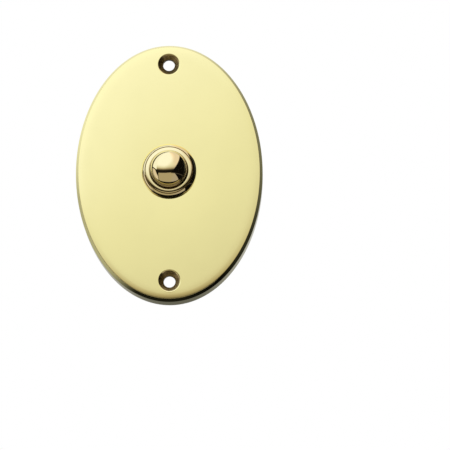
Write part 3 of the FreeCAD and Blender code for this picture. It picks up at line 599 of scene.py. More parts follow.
DULL_FINISHES = {
    # Side of the button, rubbed dull by the bore that it slides in, with its colour darkened as
    # painted shade for the dark reflections on that side
    "rubbed_brass": ("rubbed", METAL, ("turning", 0.00012, 0.13, 0.08),
                     (0.35, 700.0, (0.26, 0.19, 0.10)), (0.000006, 0.3)),
    # Countersinks, drilled and left to darken, and the collar's fine groove; beyond the tarnish
    # patches, the darker colour is painted shade in these recesses
    "sunk_brass": ("sink", METAL, ("marks", 3000.0, 0.32, 0.12),
                   (0.6, 900.0, (0.16, 0.10, 0.035)), (0.00001, 0.4)),
    # The hollow back, as it left the sand
    "cast_brass": ("cast", METAL, ("grain", 2200.0, 0.45, 0.2),
                   (0.7, 220.0, (0.22, 0.14, 0.06)), (0.00012, 0.55)),
    # Bare brass of nuts, washers, terminal screws and the fixed strip
    "turned_brass": ("turned", METAL, ("turning", 0.00016, 0.22, 0.16),
                     (0.45, 500.0, (0.42, 0.27, 0.11)), (0.00001, 0.35)),
    # Rolled spring strip with the grain of the rolling along it
    "phosphor_bronze": ("bronze", METAL, ("marks", 2500.0, 0.2, 0.14),
                        (0.5, 420.0, (0.42, 0.20, 0.10)), (0.000008, 0.4)),
    # Silver contact points, dull with a trace of sulphide
    "contact_silver": ("silver", METAL, ("grain", 6000.0, 0.26, 0.14),
                       (0.5, 1500.0, (0.45, 0.38, 0.28)), (0.000005, 0.4)),
    # Bright zinc on steel, with its slight blue and yellow drift
    "zinc_plate": ("zinc", METAL, ("grain", 2600.0, 0.24, 0.16),
                   (0.55, 380.0, (0.62, 0.58, 0.46)), (0.000006, 0.4)),
    # Drawn steel wire with draw lines and a little oil
    "drawn_wire": ("wire", METAL, ("marks", 5000.0, 0.2, 0.14),
                   (0.5, 900.0, (0.26, 0.24, 0.22)), (0.000006, 0.4)),
    # Moulded phenolic with flow marks and a dusting of fine specks
    "black_moulding": ("black", PHENOLIC, ("grain", 4200.0, 0.3, 0.2),
                       (0.5, 650.0, (0.055, 0.045, 0.036)), (0.00001, 0.4)),
    # Moulded nylon, slightly waxy
    "white_moulding": ("white", NYLON, ("grain", 5200.0, 0.38, 0.12),
                       (0.35, 800.0, (0.74, 0.70, 0.60)), (0.000008, 0.4)),
}


def dull_finish(name, settings):
    """A finish with one surface effect over a tarnished colour."""
    setting, constants, surface_plan, tarnish, relief = DULL_FINISHES[name]
    kind, fineness, roughness, spread = surface_plan
    amount, scale, tarnished = tarnish
    material, graph, shader = new_finish(name, **constants)
    measure = {"pitch" if kind == "turning" else "scale": fineness}
    surface = effect(graph, kind, roughness=roughness, spread=spread, **measure)
    stain = effect(graph, "tarnish", colour=opaque(getattr(settings, setting)),
                   tarnished=opaque(tarnished), amount=amount, scale=scale)
    dress(graph, shader, stain["Colour"], surface["Roughness"], surface["Height"], *relief)
    return material


def finish_of(name):
    """A finish, made when it is first asked for."""
    material = bpy.data.materials.get(name + FINISH_ENDING)
    if material is None:
        settings = bpy.context.scene.bell_push_finish
        if name in MIRROR_FINISHES:
            return MIRROR_FINISHES[name](settings)
        return dull_finish(name, settings)
    return material
# Shapes


class Skin:
    """Points and faces of one piece while it is being made."""

    def __init__(self):
        self.points = []
        self.faces = []
        self.finishes = []
        self.finish = 0

    def ring(self, places):
        """New points in a row."""
        first = len(self.points)
        self.points.extend(places)
        return list(range(first, len(self.points)))

    def face(self, corners):
        """One new face in the present finish."""
        self.faces.append(corners)
        self.finishes.append(self.finish)

    def band(self, one, two):
        """Faces between two closed rings; a ring of one point is a pole."""
        count = max(len(one), len(two))
        for number in range(count):
            follower = (number + 1) % count
            if len(one) == 1:
                self.face((one[0], two[number], two[follower]))
            elif len(two) == 1:
                self.face((one[number], two[0], one[follower]))
            else:
                self.face((one[number], two[number], two[follower], one[follower]))

    def chain(self, rings, closed=False):
        """Faces through a row of rings."""
        followers = rings[1:] + rings[:1] if closed else rings[1:]
        for one, two in zip(rings, followers):
            self.band(one, two)

    def fill(self, outer, holes, spacing, height_of):
        """Triangles between closed loops given as rings of this skin."""
        loops = [outer] + holes
        outlines = [[flat(self.points[index]) for index in loop] for loop in loops]
        places = [place for outline in outlines for place in outline]
        edges = []
        start = 0
        for outline in outlines:
            count = len(outline)
            edges += [(start + n, start + (n + 1) % count) for n in range(count)]
            start += count
        inner = inner_places(outlines, spacing)
        spots, _, triangles, origins, *_ = delaunay_2d_cdt(places + inner, edges, [], 1, WELD)
        ring = self.ring([(place.x, height_of(place.x, place.y), place.y) for place in inner])
        known = [index for loop in loops for index in loop] + ring
        for corners in triangles:
            middle = sum((spots[corner] for corner in corners), Vector((0, 0))) / len(corners)
            if not any(is_inside(middle, hole) for hole in outlines[1:]):
                self.face(tuple(known[origins[corner][0]] for corner in corners))

    def mark(self, finish, is_chosen):
        """Give a finish to the faces that are chosen by radius and place on the axis."""
        for number, face in enumerate(self.faces):
            middle = sum((Vector(self.points[corner]) for corner in face), Vector()) / len(face)
            if is_chosen(math.hypot(middle.x, middle.z), middle.y):
                self.finishes[number] = finish

    def piece(self, name, finishes, angle=SHARP):
        """The finished object, welded, with its faces outwards."""
        mesh = bpy.data.meshes.new(name)
        mesh.from_pydata(self.points, [], self.faces)
        mesh.polygons.foreach_set("material_index", self.finishes)
        for finish in finishes:
            mesh.materials.append(finish_of(finish))
        shape = bmesh.new()
        shape.from_mesh(mesh)
        bmesh.ops.remove_doubles(shape, verts=shape.verts, dist=WELD)
        bmesh.ops.recalc_face_normals(shape, faces=shape.faces)
        shape.to_mesh(mesh)
        shape.free()
        return placed(name, mesh, angle)


def flat(point):
    """The place across and up of a point."""
    return Vector((point[0], point[2]))


def is_inside(place, outline):
    """Whether a place is inside a closed outline."""
    within = False
    last = outline[-1]
    for corner in outline:
        if (corner.y > place.y) != (last.y > place.y):
            cross = last.x + (place.y - last.y) * (corner.x - last.x) / (corner.y - last.y)
            if place.x < cross:
                within = not within
        last = corner
    return within


def inner_places(outlines, spacing):
    """Even places inside the first outline, clear of all the others."""
    edge_places = [place for outline in outlines for place in outline]
    tree = KDTree(len(edge_places))
    for number, place in enumerate(edge_places):
        tree.insert((place.x, place.y, 0.0), number)
    tree.balance()
    wide = max(place.x for place in outlines[0])
    tall = max(place.y for place in outlines[0])
    row_step = spacing * math.sqrt(3) / 2
    rows = int(tall / row_step) + 1
    columns = int(wide / spacing) + 1
    kept = []
    for row in range(-rows, rows + 1):
        shift = spacing / 2 if row % 2 else 0.0
        for column in range(-columns, columns + 1):
            place = Vector((column * spacing + shift, row * row_step))
            is_clear = tree.find((place.x, place.y, 0.0))[2] >= CLEAR_OF_EDGE * spacing
            if is_clear and is_inside(place, outlines[0]):
                if not any(is_inside(place, hole) for hole in outlines[1:]):
                    kept.append(place)
    return kept


def placed(name, mesh, angle):
    """An object for a mesh, smooth except at sharp edges."""
    mesh.polygons.foreach_set("use_smooth", [True] * len(mesh.polygons))
    mesh.set_sharp_from_angle(angle=math.radians(angle))
    piece = bpy.data.objects.new(name, mesh)
    bpy.context.scene.collection.objects.link(piece)
    return piece


def arc(centre, radius, start, end, steps=ARC_STEPS):
    """Points of a profile on an arc, with its angles in degrees."""
    points = []
    for number in range(steps + 1):
        angle = math.radians(start + (end - start) * number / steps)
        points.append((
            centre[0] + radius * math.cos(angle),
            centre[1] + radius * math.sin(angle),
        ))
    return points


def bend(start, radius, slope, last_slope, steps):
    """Points after a start on an arc that turns away from the front, by its slopes."""
    middle = (start[0] - radius * math.sin(slope), start[1] + radius * math.cos(slope))
    angles = [math.degrees(turn) - 90.0 for turn in (slope, last_slope)]
    return arc(middle, radius, *angles, steps)[1:]
def rounded(profile, radius, closed):
    """A profile with its corners rounded, apart from nearly straight ones."""
    count = len(profile)
    result = []
    for number, corner in enumerate(profile):
        here = Vector(corner)
        if not closed and number in (0, count - 1):
            result.append(tuple(here))
            continue
        before = Vector(profile[number - 1]) - here
        after = Vector(profile[(number + 1) % count]) - here
        turn = math.pi - before.angle(after, math.pi)
        if turn < STRAIGHT:
            result.append(tuple(here))
            continue
        shorter = min(before.length, after.length)
        cut = min(radius * math.tan(turn / 2), shorter * SIDE_SHARE)
        start = here + before.normalized() * cut
        end = here + after.normalized() * cut
        for step in range(CORNER_STEPS + 1):
            share = step / CORNER_STEPS
            point = start.lerp(here, share).lerp(here.lerp(end, share), share)
            result.append(tuple(point))
    return result


def supported(profile, margin):
    """A profile with points added near the ends of its long straight parts."""
    result = [profile[0]]
    for start, end in zip(profile, profile[1:]):
        run = Vector(end) - Vector(start)
        if run.length > LONG_RUN * margin:
            step = run.normalized() * margin
            result.append(tuple(Vector(start) + step))
            result.append(tuple(Vector(end) - step))
        result.append(end)
    return result


def circle(middle_x, middle_z, radius, sides):
    """Places on a circle, across and up."""
    angles = [2 * math.pi * number / sides for number in range(sides)]
    return [
        (middle_x + radius * math.cos(angle), middle_z + radius * math.sin(angle))
        for angle in angles
    ]


def turned_skin(profile, closed, cut=None):
    """A skin turned about the Y axis from (radius, place) pairs.

    cut gives how deep a thread is at a radius, place and angle.
    """
    skin = Skin()
    rings = []
    for radius, place in profile:
        if radius < WELD:
            rings.append(skin.ring([(0.0, place, 0.0)]))
            continue
        points = []
        for number in range(TURNED_SIDES):
            angle = 2 * math.pi * number / TURNED_SIDES
            reach = radius - (cut(radius, place, angle) if cut else 0.0)
            points.append((reach * math.cos(angle), place, reach * math.sin(angle)))
        rings.append(skin.ring(points))
    skin.chain(rings, closed)
    return skin


def even_steps(start, end, step):
    """Places from start to end, both included, about a step apart."""
    count = max(1, round(abs(end - start) / step))
    return [start + (end - start) * number / count for number in range(count + 1)]


def wave(turns):
    """A V-shaped thread section, from 0 at its crest to 1 at its root."""
    share = turns % 1.0
    return 1.0 - abs(2.0 * share - 1.0)


# Plate


def face_drop(plate, across, up):
    """How far the crowned and buffed face falls back at a place."""
    reach = math.hypot(across / HALF_WIDTH, up / HALF_HEIGHT)
    radius = math.hypot(across, up)
    if radius < plate.crown_flat:
        return 0.0
    steepness = math.hypot(across / HALF_WIDTH ** 2, up / HALF_HEIGHT ** 2)
    inset = (1.0 - reach) * reach / steepness
    edge = radius / reach
    crown_share = (radius - plate.crown_flat) / (edge - plate.crown_flat)
    roll_share = max(0.0, 1.0 - inset / plate.roll_width)
    return plate.crown * crown_share ** 2 + plate.roll_drop * roll_share ** 2


def oval(half_width, half_height, inset=0.0):
    """Places on an oval, moved in from its edge along its normals."""
    places = []
    for number in range(OVAL_SIDES):
        angle = 2 * math.pi * number / OVAL_SIDES
        edge = Vector((half_width * math.cos(angle), half_height * math.sin(angle)))
        normal = Vector((half_height * math.cos(angle), half_width * math.sin(angle)))
        places.append(edge - normal.normalized() * inset)
    return places


def level(places, depth):
    """Points at one depth."""
    return [(place[0], depth, place[1]) for place in places]


def on_face(plate, places, depth=0.0):
    """Points on the crowned face, or a depth behind it."""
    return [
        (place[0], FACE_Y + face_drop(plate, place[0], place[1]) + depth, place[1])
        for place in places
    ]


def plate_edge(skin, plate):
    """Rings from the face, over the slanted front edge and down the side to the wall."""
    facet = plate.edge_facet
    begin = facet + plate.edge_round
    rings = [
        skin.ring(on_face(plate, oval(HALF_WIDTH, HALF_HEIGHT, inset)))
        for inset in even_steps(plate.ring_start, begin, plate.edge_round / 2)
    ]
    rows = []
    outside, corners, far_places = [
        oval(HALF_WIDTH, HALF_HEIGHT, inset) for inset in (0.0, facet, begin)
    ]
    for edge, corner, far in zip(outside, corners, far_places):
        inward = (corner - edge) / facet
        lip = face_drop(plate, corner.x, corner.y)
        section = supported(rounded([
            (begin, face_drop(plate, far.x, far.y)),
            (facet, lip),
            (0.0, lip + plate.facet_depth),
            (0.0, SIDE_START * plate.facet_depth),
        ], plate.edge_round, False), plate.edge_round / 4)
        rows.append([(edge + inward * inset, depth) for inset, depth in section[1:]])
    for row in zip(*rows):
        rings.append(skin.ring([(place.x, FACE_Y + depth, place.y) for place, depth in row]))
    start = FACE_Y + SIDE_RINGS_START * plate.facet_depth
    for depth in even_steps(start, WALL_Y - plate.rim_chamfer, facet):
        rings.append(skin.ring(level(outside, depth)))
    chamfered = oval(HALF_WIDTH, HALF_HEIGHT, plate.rim_chamfer)
    rings.append(skin.ring(level(chamfered, WALL_Y)))
    skin.chain(rings)
    return rings[0], rings[-1]


def plate_hollow(skin, plate, floor):
    """Rings from the rim down the hollow's wall to its floor."""
    half_width = HALF_WIDTH - plate.rim_wall
    half_height = HALF_HEIGHT - plate.rim_wall
    break_size = plate.rim_chamfer / 2
    rings = [
        skin.ring(level(oval(half_width, half_height, -break_size), WALL_Y)),
        skin.ring(level(oval(half_width, half_height), WALL_Y - break_size)),
    ]
    radius = plate.corner_radius
    for step in range(ARC_STEPS + 1):
        angle = math.pi / 2 * step / ARC_STEPS
        inset = radius * (1.0 - math.cos(angle))
        depth = floor + radius * (1.0 - math.sin(angle))
        rings.append(skin.ring(level(oval(half_width, half_height, inset), depth)))
    skin.chain(rings)
    return rings[0], rings[-1]


def screw_hole(skin, plate, up, floor):
    """Countersink and bore of one wall screw; its rings on the face and the floor."""
    lip = plate.sink_lip
    fall = lip * LIP_FALL
    around = [
        circle(0.0, up, plate.sink_radius + width * lip, HOLE_SIDES) for width in LIP_RINGS
    ]
    rings = [skin.ring(on_face(plate, places)) for places in around]
    base = FACE_Y + face_drop(plate, 0.0, up)
    for step in range(1, CORNER_STEPS + 2):
        share = step / (CORNER_STEPS + 1)
        radius = plate.sink_radius + lip * (1.0 - share) - fall * share
        points = []
        for place, edge in zip(circle(0.0, up, radius, HOLE_SIDES), around[-1]):
            face = FACE_Y + face_drop(plate, edge[0], edge[1])
            sunk = face * (1.0 - share) + base * share + fall * share ** 2
            points.append((place[0], sunk, place[1]))
        rings.append(skin.ring(points))
    skin.chain(rings)
    # The countersink's cone gets the sunk brass, darkened as painted shade
    skin.finish = 1
    depth = plate.sink_radius - plate.bore_radius - fall
    rows = [(plate.sink_radius - fall - depth * share, base + fall + depth * share)
            for share in CONE_SHARES]
    rows.append((plate.bore_radius, floor))
    cone = [rings[-1]] + [
        skin.ring(level(circle(0.0, up, radius, HOLE_SIDES), place)) for radius, place in rows
    ]
    skin.chain(cone)
    skin.finish = 0
    return rings[0], cone[-1]
def base_boss(skin, plate, up, floor):
    """One boss with its tapped hole; its ring on the floor."""
    top = BASE_LOW.y
    break_size = plate.rim_chamfer / 2
    rows = [
        (plate.boss_radius + break_size, floor),
        (plate.boss_radius, floor + break_size),
        (plate.boss_radius, top - break_size),
        (plate.boss_radius - break_size, top),
        (plate.tapped_radius + break_size, top),
        (plate.tapped_radius, top - break_size),
        (plate.tapped_radius, top - plate.tapped_depth),
    ]
    rings = [
        skin.ring(level(circle(0.0, up, radius, HOLE_SIDES), depth)) for radius, depth in rows
    ]
    rings.append(skin.ring([(0.0, top - plate.tapped_depth, up)]))
    skin.chain(rings)
    return rings[0]


class BELLPUSH_OT_plate(bpy.types.Operator):
    """Make the oval plate with its countersinks, hollow back and bosses"""

    bl_idname = "bell_push.plate"
    bl_label = "Oval plate"

    def execute(self, context):
        plate = context.scene.bell_push_plate
        floor = FACE_Y + plate.face_metal
        skin = Skin()
        face_loop, rim_loop = plate_edge(skin, plate)
        opening = circle(0.0, 0.0, plate.opening_radius, HOLE_SIDES)
        front_opening = skin.ring(on_face(plate, opening))
        back_opening = skin.ring(level(opening, floor))
        skin.band(front_opening, back_opening)
        front_holes = [front_opening]
        back_holes = [back_opening]
        for side in (1, -1):
            front, back = screw_hole(skin, plate, side * plate.screw_spacing / 2, floor)
            front_holes.append(front)
            back_holes.append(back)
        skin.fill(face_loop, front_holes, FACE_SPACING,
                  lambda across, up: FACE_Y + face_drop(plate, across, up))
        skin.finish = 2
        for side in (1, -1):
            back_holes.append(base_boss(skin, plate, side * BOSS_OFFSET, floor))
        hollow_loop, floor_loop = plate_hollow(skin, plate, floor)
        skin.band(rim_loop, hollow_loop)
        skin.fill(floor_loop, back_holes, FLOOR_SPACING, lambda across, up: floor)
        piece = skin.piece("oval_plate", ["polished_brass", "sunk_brass", "cast_brass"])
        hand_over(piece, "plate", "polished_brass", "face_plate")
        return {"FINISHED"}


def hand_over(piece, body, slot, *nodes):
    """Put a finished piece in the place of its nodes."""
    if nodes:
        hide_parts(*nodes)
    if body is not None:
        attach(piece, body)


# Collar and button


class BELLPUSH_OT_collar(bpy.types.Operator):
    """Turn the collar with its bead, fine groove, bores and threaded barrel"""

    bl_idname = "bell_push.collar"
    bl_label = "Collar"

    def execute(self, context):
        collar = context.scene.bell_push_collar
        end = COLLAR_HIGH.y
        guide_end = FACE_Y + collar.guide_end
        outer = collar.bead_round
        crest = FACE_Y - collar.bead_height
        middle = (collar.crest_radius, crest + outer)
        half = collar.groove_width / 2

        def turn_at(radius):
            """Angle on the bead's section at a radius from the axis."""
            return -math.degrees(math.acos((radius - collar.crest_radius) / outer))

        groove_turn = turn_at(collar.groove_place)
        profile = [(COLLAR_HIGH.x, FACE_Y)]
        profile += arc(middle, outer, turn_at(COLLAR_HIGH.x), turn_at(collar.groove_place + half),
                       BEAD_FLANK_STEPS)
        profile += arc(middle, outer - collar.groove_depth, groove_turn, groove_turn, 1)[:1]
        profile += arc(middle, outer, turn_at(collar.groove_place - half), -90, BEAD_CREST_STEPS)
        inner = collar.mouth_round
        profile += arc((collar.crest_radius, crest + inner), inner, -90, -180, MOUTH_STEPS)[1:]
        lead = end - collar.barrel_chamfer
        profile[-2:] = rounded([
            *profile[-2:],
            (collar.guide_radius, guide_end),
            (collar.spring_bore, guide_end),
            (collar.spring_bore, end),
            (collar.barrel_radius - collar.barrel_chamfer, end),
            (collar.barrel_radius, lead),
        ], collar.edge_round, False)
        start = NUT_LOW.y - collar.thread_pitch
        threaded = even_steps(lead, start, collar.thread_pitch / STEPS_PER_THREAD)[1:]
        profile += [(collar.barrel_radius, place) for place in threaded + [FACE_Y]]

        def cut(radius, place, angle):
            """Depth of the barrel's thread, which fades out towards the plate."""
            if abs(radius - collar.barrel_radius) > WELD or place < start:
                return 0.0
            fade = min(1.0, (place - start) / collar.thread_pitch)
            turns = place / collar.thread_pitch - angle / (2 * math.pi)
            return collar.thread_depth * fade * wave(turns)

        skin = turned_skin(profile, True, cut)
        # Painted shade: the fine groove gets the darker sunk brass, for the shade inside it
        above_foot = FACE_Y - collar.bead_height / 4
        skin.mark(1, lambda radius, place: (
            place < above_foot and abs(radius - collar.groove_place) < half))
        piece = skin.piece("beaded_collar", ["turned_polish", "sunk_brass"])
        hand_over(piece, "plate", "polished_brass", "collar")
        return {"FINISHED"}


class BELLPUSH_OT_button(bpy.types.Operator):
    """Turn the domed button with its flange and stem"""

    bl_idname = "bell_push.button"
    bl_label = "Domed button"

    def execute(self, context):
        button = context.scene.bell_push_button
        collar = context.scene.bell_push_collar
        top = (0.0, BUTTON_LOW.y)
        profile = [top]
        profile += bend(top, button.ball, 0.0, button.dome_turn, DOME_STEPS)
        profile += bend(profile[-1], button.edge_round, button.dome_turn, button.side_turn,
                        DOME_EDGE_STEPS)
        side_radius = profile[-1][0]
        swell = (button.radius - side_radius) / (1.0 - math.sin(button.side_turn))
        profile += bend(profile[-1], swell, button.side_turn, math.pi / 2, SIDE_STEPS)
        shoulder = FACE_Y + collar.guide_end
        flange = BUTTON_HIGH.x
        back = shoulder + button.flange_thickness
        profile += rounded([
            profile[-1],
            (button.radius, shoulder),
            (flange, shoulder),
            (flange, back),
            (button.stem_radius, back),
            (button.stem_radius, BUTTON_HIGH.y),
            (0.0, BUTTON_HIGH.y),
        ], button.small_round, False)[1:]
        skin = turned_skin(profile, False)
        # The swelling side gets the rubbed brass, whose darker colour is painted shade
        skin.mark(1, lambda radius, place: place < FACE_Y and radius > side_radius)
        piece = skin.piece("domed_button", ["turned_polish", "rubbed_brass"], SHARP_ON_BUTTON)
        hand_over(piece, "button", "polished_brass", "push_button")
        return {"FINISHED"}
# Switch behind the plate

FINISH_OF_SLOT = {"plated_steel": "zinc_plate"}
NUTS_AND_WASHERS = {
    "collar_nut": "turned_brass",
    "collar_lock_washer": "plated_steel",
    "terminal_nut_left": "turned_brass",
    "terminal_nut_right": "turned_brass",
    "terminal_washer_left": "turned_brass",
    "terminal_washer_right": "turned_brass",
    "base_spring_washer_top": "plated_steel",
    "base_spring_washer_bottom": "plated_steel",
}

# Each screw: the washer under its head, its slot and how far its driver slot is turned

SCREWS = {
    "terminal_screw_left": ("terminal_washer_left", "turned_brass", 0.5),
    "terminal_screw_right": ("terminal_washer_right", "turned_brass", -0.9),
    "base_screw_top": ("base_spring_washer_top", "plated_steel", 1.2),
    "base_screw_bottom": ("base_spring_washer_bottom", "plated_steel", 0.2),
}
SHANK_IN_HEAD = 0.2
REFINED_SHARP = math.radians(40)
REFINED_FLAT = math.radians(0.5)

def coil_tree():
    """Geometry nodes for a coil along Y whose end turns are closed up."""
    graph, given, result = new_group(
        "bell_push_coil", "GeometryNodeTree",
        {"Mean radius": 0.003, "Wire radius": 0.0003, "Height": 0.007, "Turns": 5.0,
         "Closed turns": 1.0, "Closed pitch": 0.0006, "Steps": 200,
         "Finish": "NodeSocketMaterial"},
        {"Geometry": "NodeSocketGeometry"})
    line = graph.add("GeometryNodeCurvePrimitiveLine")
    even = graph.add("GeometryNodeResampleCurve", {
        "Curve": line.outputs["Curve"], "Count": given["Steps"],
    })
    share = graph.add("GeometryNodeSplineParameter").outputs["Factor"]
    turn = graph.times(share, given["Turns"])
    open_turns = graph.minus(given["Turns"], graph.times(given["Closed turns"], 2.0))
    closed_height = graph.times(given["Closed pitch"], given["Turns"])
    extra_pitch = graph.over(graph.minus(given["Height"], closed_height), open_turns)
    into_open = graph.held(graph.minus(turn, given["Closed turns"]), open_turns)
    height = graph.plus(graph.times(turn, given["Closed pitch"]),
                        graph.times(into_open, extra_pitch))
    place = graph.around(given["Mean radius"], graph.times(turn, 2 * math.pi), height)
    path = graph.add("GeometryNodeSetPosition", {
        "Geometry": even.outputs["Curve"], "Position": place,
    })
    section = graph.add("GeometryNodeCurvePrimitiveCircle", {
        "Resolution": WIRE_SIDES, "Radius": given["Wire radius"],
    })
    wire = graph.add("GeometryNodeCurveToMesh", {
        "Curve": path.outputs["Geometry"], "Profile Curve": section.outputs["Curve"],
        "Fill Caps": True,
    })
    finish_tree(graph, wire.outputs["Mesh"], given["Finish"], result)
    return graph.tree


def finish_tree(graph, geometry, material, result):
    """End a tree with real geometry in its finish."""
    real = graph.add("GeometryNodeRealizeInstances", {"Geometry": geometry})
    painted = graph.add("GeometryNodeSetMaterial", {
        "Geometry": real.outputs["Geometry"], "Material": material,
    })
    graph.feed(result["Geometry"], painted.outputs["Geometry"])


def thread_surface(graph, given, start, end):
    """A closed threaded rod along Y, made from a grid whose rows are rings."""
    depth = given["Thread depth"]
    pitch = given["Pitch"]
    last = THREAD_ROWS - 1.0
    grid = graph.add("GeometryNodeMeshGrid", {
        "Size X": 1.0, "Size Y": 1.0, "Vertices X": THREAD_SIDES, "Vertices Y": THREAD_ROWS,
    })
    index = graph.add("GeometryNodeInputIndex").outputs["Index"]
    column = graph.math("FLOOR", graph.over(index, THREAD_ROWS))
    row = graph.math("MODULO", index, THREAD_ROWS)
    share = graph.over(column, THREAD_SIDES - 1.0)
    along = graph.held(graph.over(graph.minus(row, 1.0), last - 2.0), 1.0)
    run = graph.times(along, graph.minus(end, start))
    place = graph.plus(start, run)
    turns = graph.minus(graph.over(place, pitch), share)
    cut = graph.times(graph.math("PINGPONG", turns, 0.5), 2.0, depth)
    lead = graph.math("MINIMUM", 1.0, graph.over(run, pitch))
    tapered = graph.minus(graph.minus(given["Thread radius"], cut),
                          graph.times(graph.minus(1.0, lead), depth))
    shut = graph.times(graph.math("GREATER_THAN", row, 0.5),
                       graph.math("LESS_THAN", row, last - 0.5))
    spot = graph.around(graph.times(tapered, shut), graph.times(share, 2 * math.pi), place)
    bent = graph.add("GeometryNodeSetPosition", {
        "Geometry": grid.outputs["Mesh"], "Position": spot,
    })
    return graph.add("GeometryNodeMergeByDistance", {
        "Geometry": bent.outputs["Geometry"], "Distance": WELD,
    }).outputs["Geometry"]


def boolean(graph, operation, meshes):
    """Meshes made one, or the first one cut by the others."""
    node = graph.add("GeometryNodeMeshBoolean", operation=operation, solver="EXACT")
    for number, mesh in enumerate(meshes):
        is_cut = operation == "DIFFERENCE" and number == 0
        graph.feed(node.inputs["Mesh 1" if is_cut else "Mesh 2"], mesh)
    return node.outputs["Mesh"]


def moved(graph, mesh, shift=(0.0, 0.0, 0.0), turn=(0.0, 0.0, 0.0)):
    """A mesh that is shifted and turned."""
    return graph.add("GeometryNodeTransform", {
        "Geometry": mesh, "Translation": shift, "Rotation": turn,
    }).outputs["Geometry"]


def screw_tree():
    """Geometry nodes for a slotted screw whose head bears at Y = 0."""
    graph, given, result = new_group(
        "bell_push_screw", "GeometryNodeTree",
        {"Thread radius": 0.0015, "Thread depth": 0.0002, "Pitch": 0.0005, "Length": 0.007,
         "Head radius": 0.0025, "Head height": 0.0017, "Head chamfer": 0.0004,
         "Slot width": 0.0007, "Slot depth": 0.0008, "Slot turn": 0.0,
         "Finish": "NodeSocketMaterial"},
        {"Geometry": "NodeSocketGeometry"})
    radius = given["Head radius"]
    height = given["Head height"]
    straight = graph.minus(height, given["Head chamfer"])
    parts = []
    for top, depth in ((radius, straight),
                       (graph.minus(radius, given["Head chamfer"]), given["Head chamfer"])):
        parts.append(graph.add("GeometryNodeMeshCone", {
            "Vertices": HEAD_SIDES, "Radius Bottom": radius, "Radius Top": top, "Depth": depth,
        }).outputs["Mesh"])
    drum, crown = parts
    head = boolean(graph, "UNION", [drum, moved(graph, crown, graph.point(z=straight))])
    blade = graph.add("GeometryNodeMeshCube", {"Size": graph.point(
        given["Slot width"], graph.times(radius, 3.0), graph.times(given["Slot depth"], 2.0))})
    slot = moved(graph, blade.outputs["Mesh"], graph.point(z=height),
                 graph.point(z=given["Slot turn"]))
    slotted = boolean(graph, "DIFFERENCE", [head, slot])
    facing = moved(graph, slotted, turn=(math.radians(-90), 0.0, 0.0))
    rod = thread_surface(graph, given, graph.times(given["Length"], -1.0),
                         graph.times(height, SHANK_IN_HEAD))
    finish_tree(graph, boolean(graph, "UNION", [facing, rod]), given["Finish"], result)
    return graph.tree
def grown(name, tree, angle, **sizes):
    """A plain piece made by a tree with named inputs."""
    piece = bpy.data.objects.new(name, bpy.data.meshes.new(name + "_start"))
    bpy.context.scene.collection.objects.link(piece)
    maker = piece.modifiers.new("Maker", "NODES")
    maker.node_group = tree
    wanted = {key.replace("_", " ").capitalize(): value for key, value in sizes.items()}
    for item in tree.interface.items_tree:
        if item.in_out == "INPUT" and item.name in wanted:
            maker[item.identifier] = wanted.pop(item.name)
    if wanted:
        raise RuntimeError(f"{name} has no inputs {sorted(wanted)}")
    graph = bpy.context.evaluated_depsgraph_get()
    mesh = bpy.data.meshes.new_from_object(piece.evaluated_get(graph))
    piece.modifiers.remove(maker)
    bpy.data.objects.remove(piece)
    if not mesh.polygons:
        raise RuntimeError(f"{name} came out empty")
    mesh.name = name
    return placed(name, mesh, angle)


def refined(name, node, finish, edge):
    """A welded copy of a node with its edges rounded."""
    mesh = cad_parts[node].data.copy()
    mesh.name = name
    mesh.materials.clear()
    mesh.materials.append(finish_of(finish))
    shape = bmesh.new()
    shape.from_mesh(mesh)
    bmesh.ops.remove_doubles(shape, verts=shape.verts, dist=WELD)
    bmesh.ops.dissolve_limit(
        shape, angle_limit=REFINED_FLAT, verts=shape.verts, edges=shape.edges
    )
    for face in shape.faces:
        face.material_index = 0
    shape.to_mesh(mesh)
    shape.free()
    piece = placed(name, mesh, SHARP)
    rounding = piece.modifiers.new("Rounded edges", "BEVEL")
    rounding.width = edge
    rounding.segments = 2
    rounding.limit_method = "ANGLE"
    rounding.angle_limit = REFINED_SHARP
    rounding.harden_normals = False
    return piece


def dressed(name, node, body, slot, edge):
    """A refined copy of a node, in the place of the node."""
    piece = refined(name, node, FINISH_OF_SLOT.get(slot, slot), edge)
    hand_over(piece, body, slot, node)
    return piece


class BELLPUSH_OT_spring(bpy.types.Operator):
    """Wind the return spring"""

    bl_idname = "bell_push.spring"
    bl_label = "Return spring"

    def execute(self, context):
        switch = context.scene.bell_push_switch
        start = SPRING_LOW.y + switch.wire_radius
        seat = SPRING_HIGH.y
        piece = grown(
            "coil_spring", coil_tree(), SHARP_ON_COIL,
            mean_radius=switch.mean_radius, wire_radius=switch.wire_radius,
            height=seat - switch.wire_radius - start, turns=float(switch.spring_turns),
            closed_turns=float(switch.closed_turns), closed_pitch=switch.closed_pitch,
            steps=switch.spring_turns * STEPS_PER_COIL + 1, finish=finish_of("drawn_wire"))
        piece.data.transform(Matrix.Translation((0.0, start, 0.0)))
        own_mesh(piece)
        hand_over(piece, "plate", "spring_steel", "return_spring")
        return {"FINISHED"}


class BELLPUSH_OT_contact_base(bpy.types.Operator):
    """Dress the moulded base and the insulating tip"""

    bl_idname = "bell_push.contact_base"
    bl_label = "Contact base and tip"

    def execute(self, context):
        edge = context.scene.bell_push_switch.moulded_edge
        dressed("moulded_base", "contact_base", "plate", "black_moulding", edge)
        dressed("insulating_tip", "plunger_tip", "button", "white_moulding", edge)
        return {"FINISHED"}


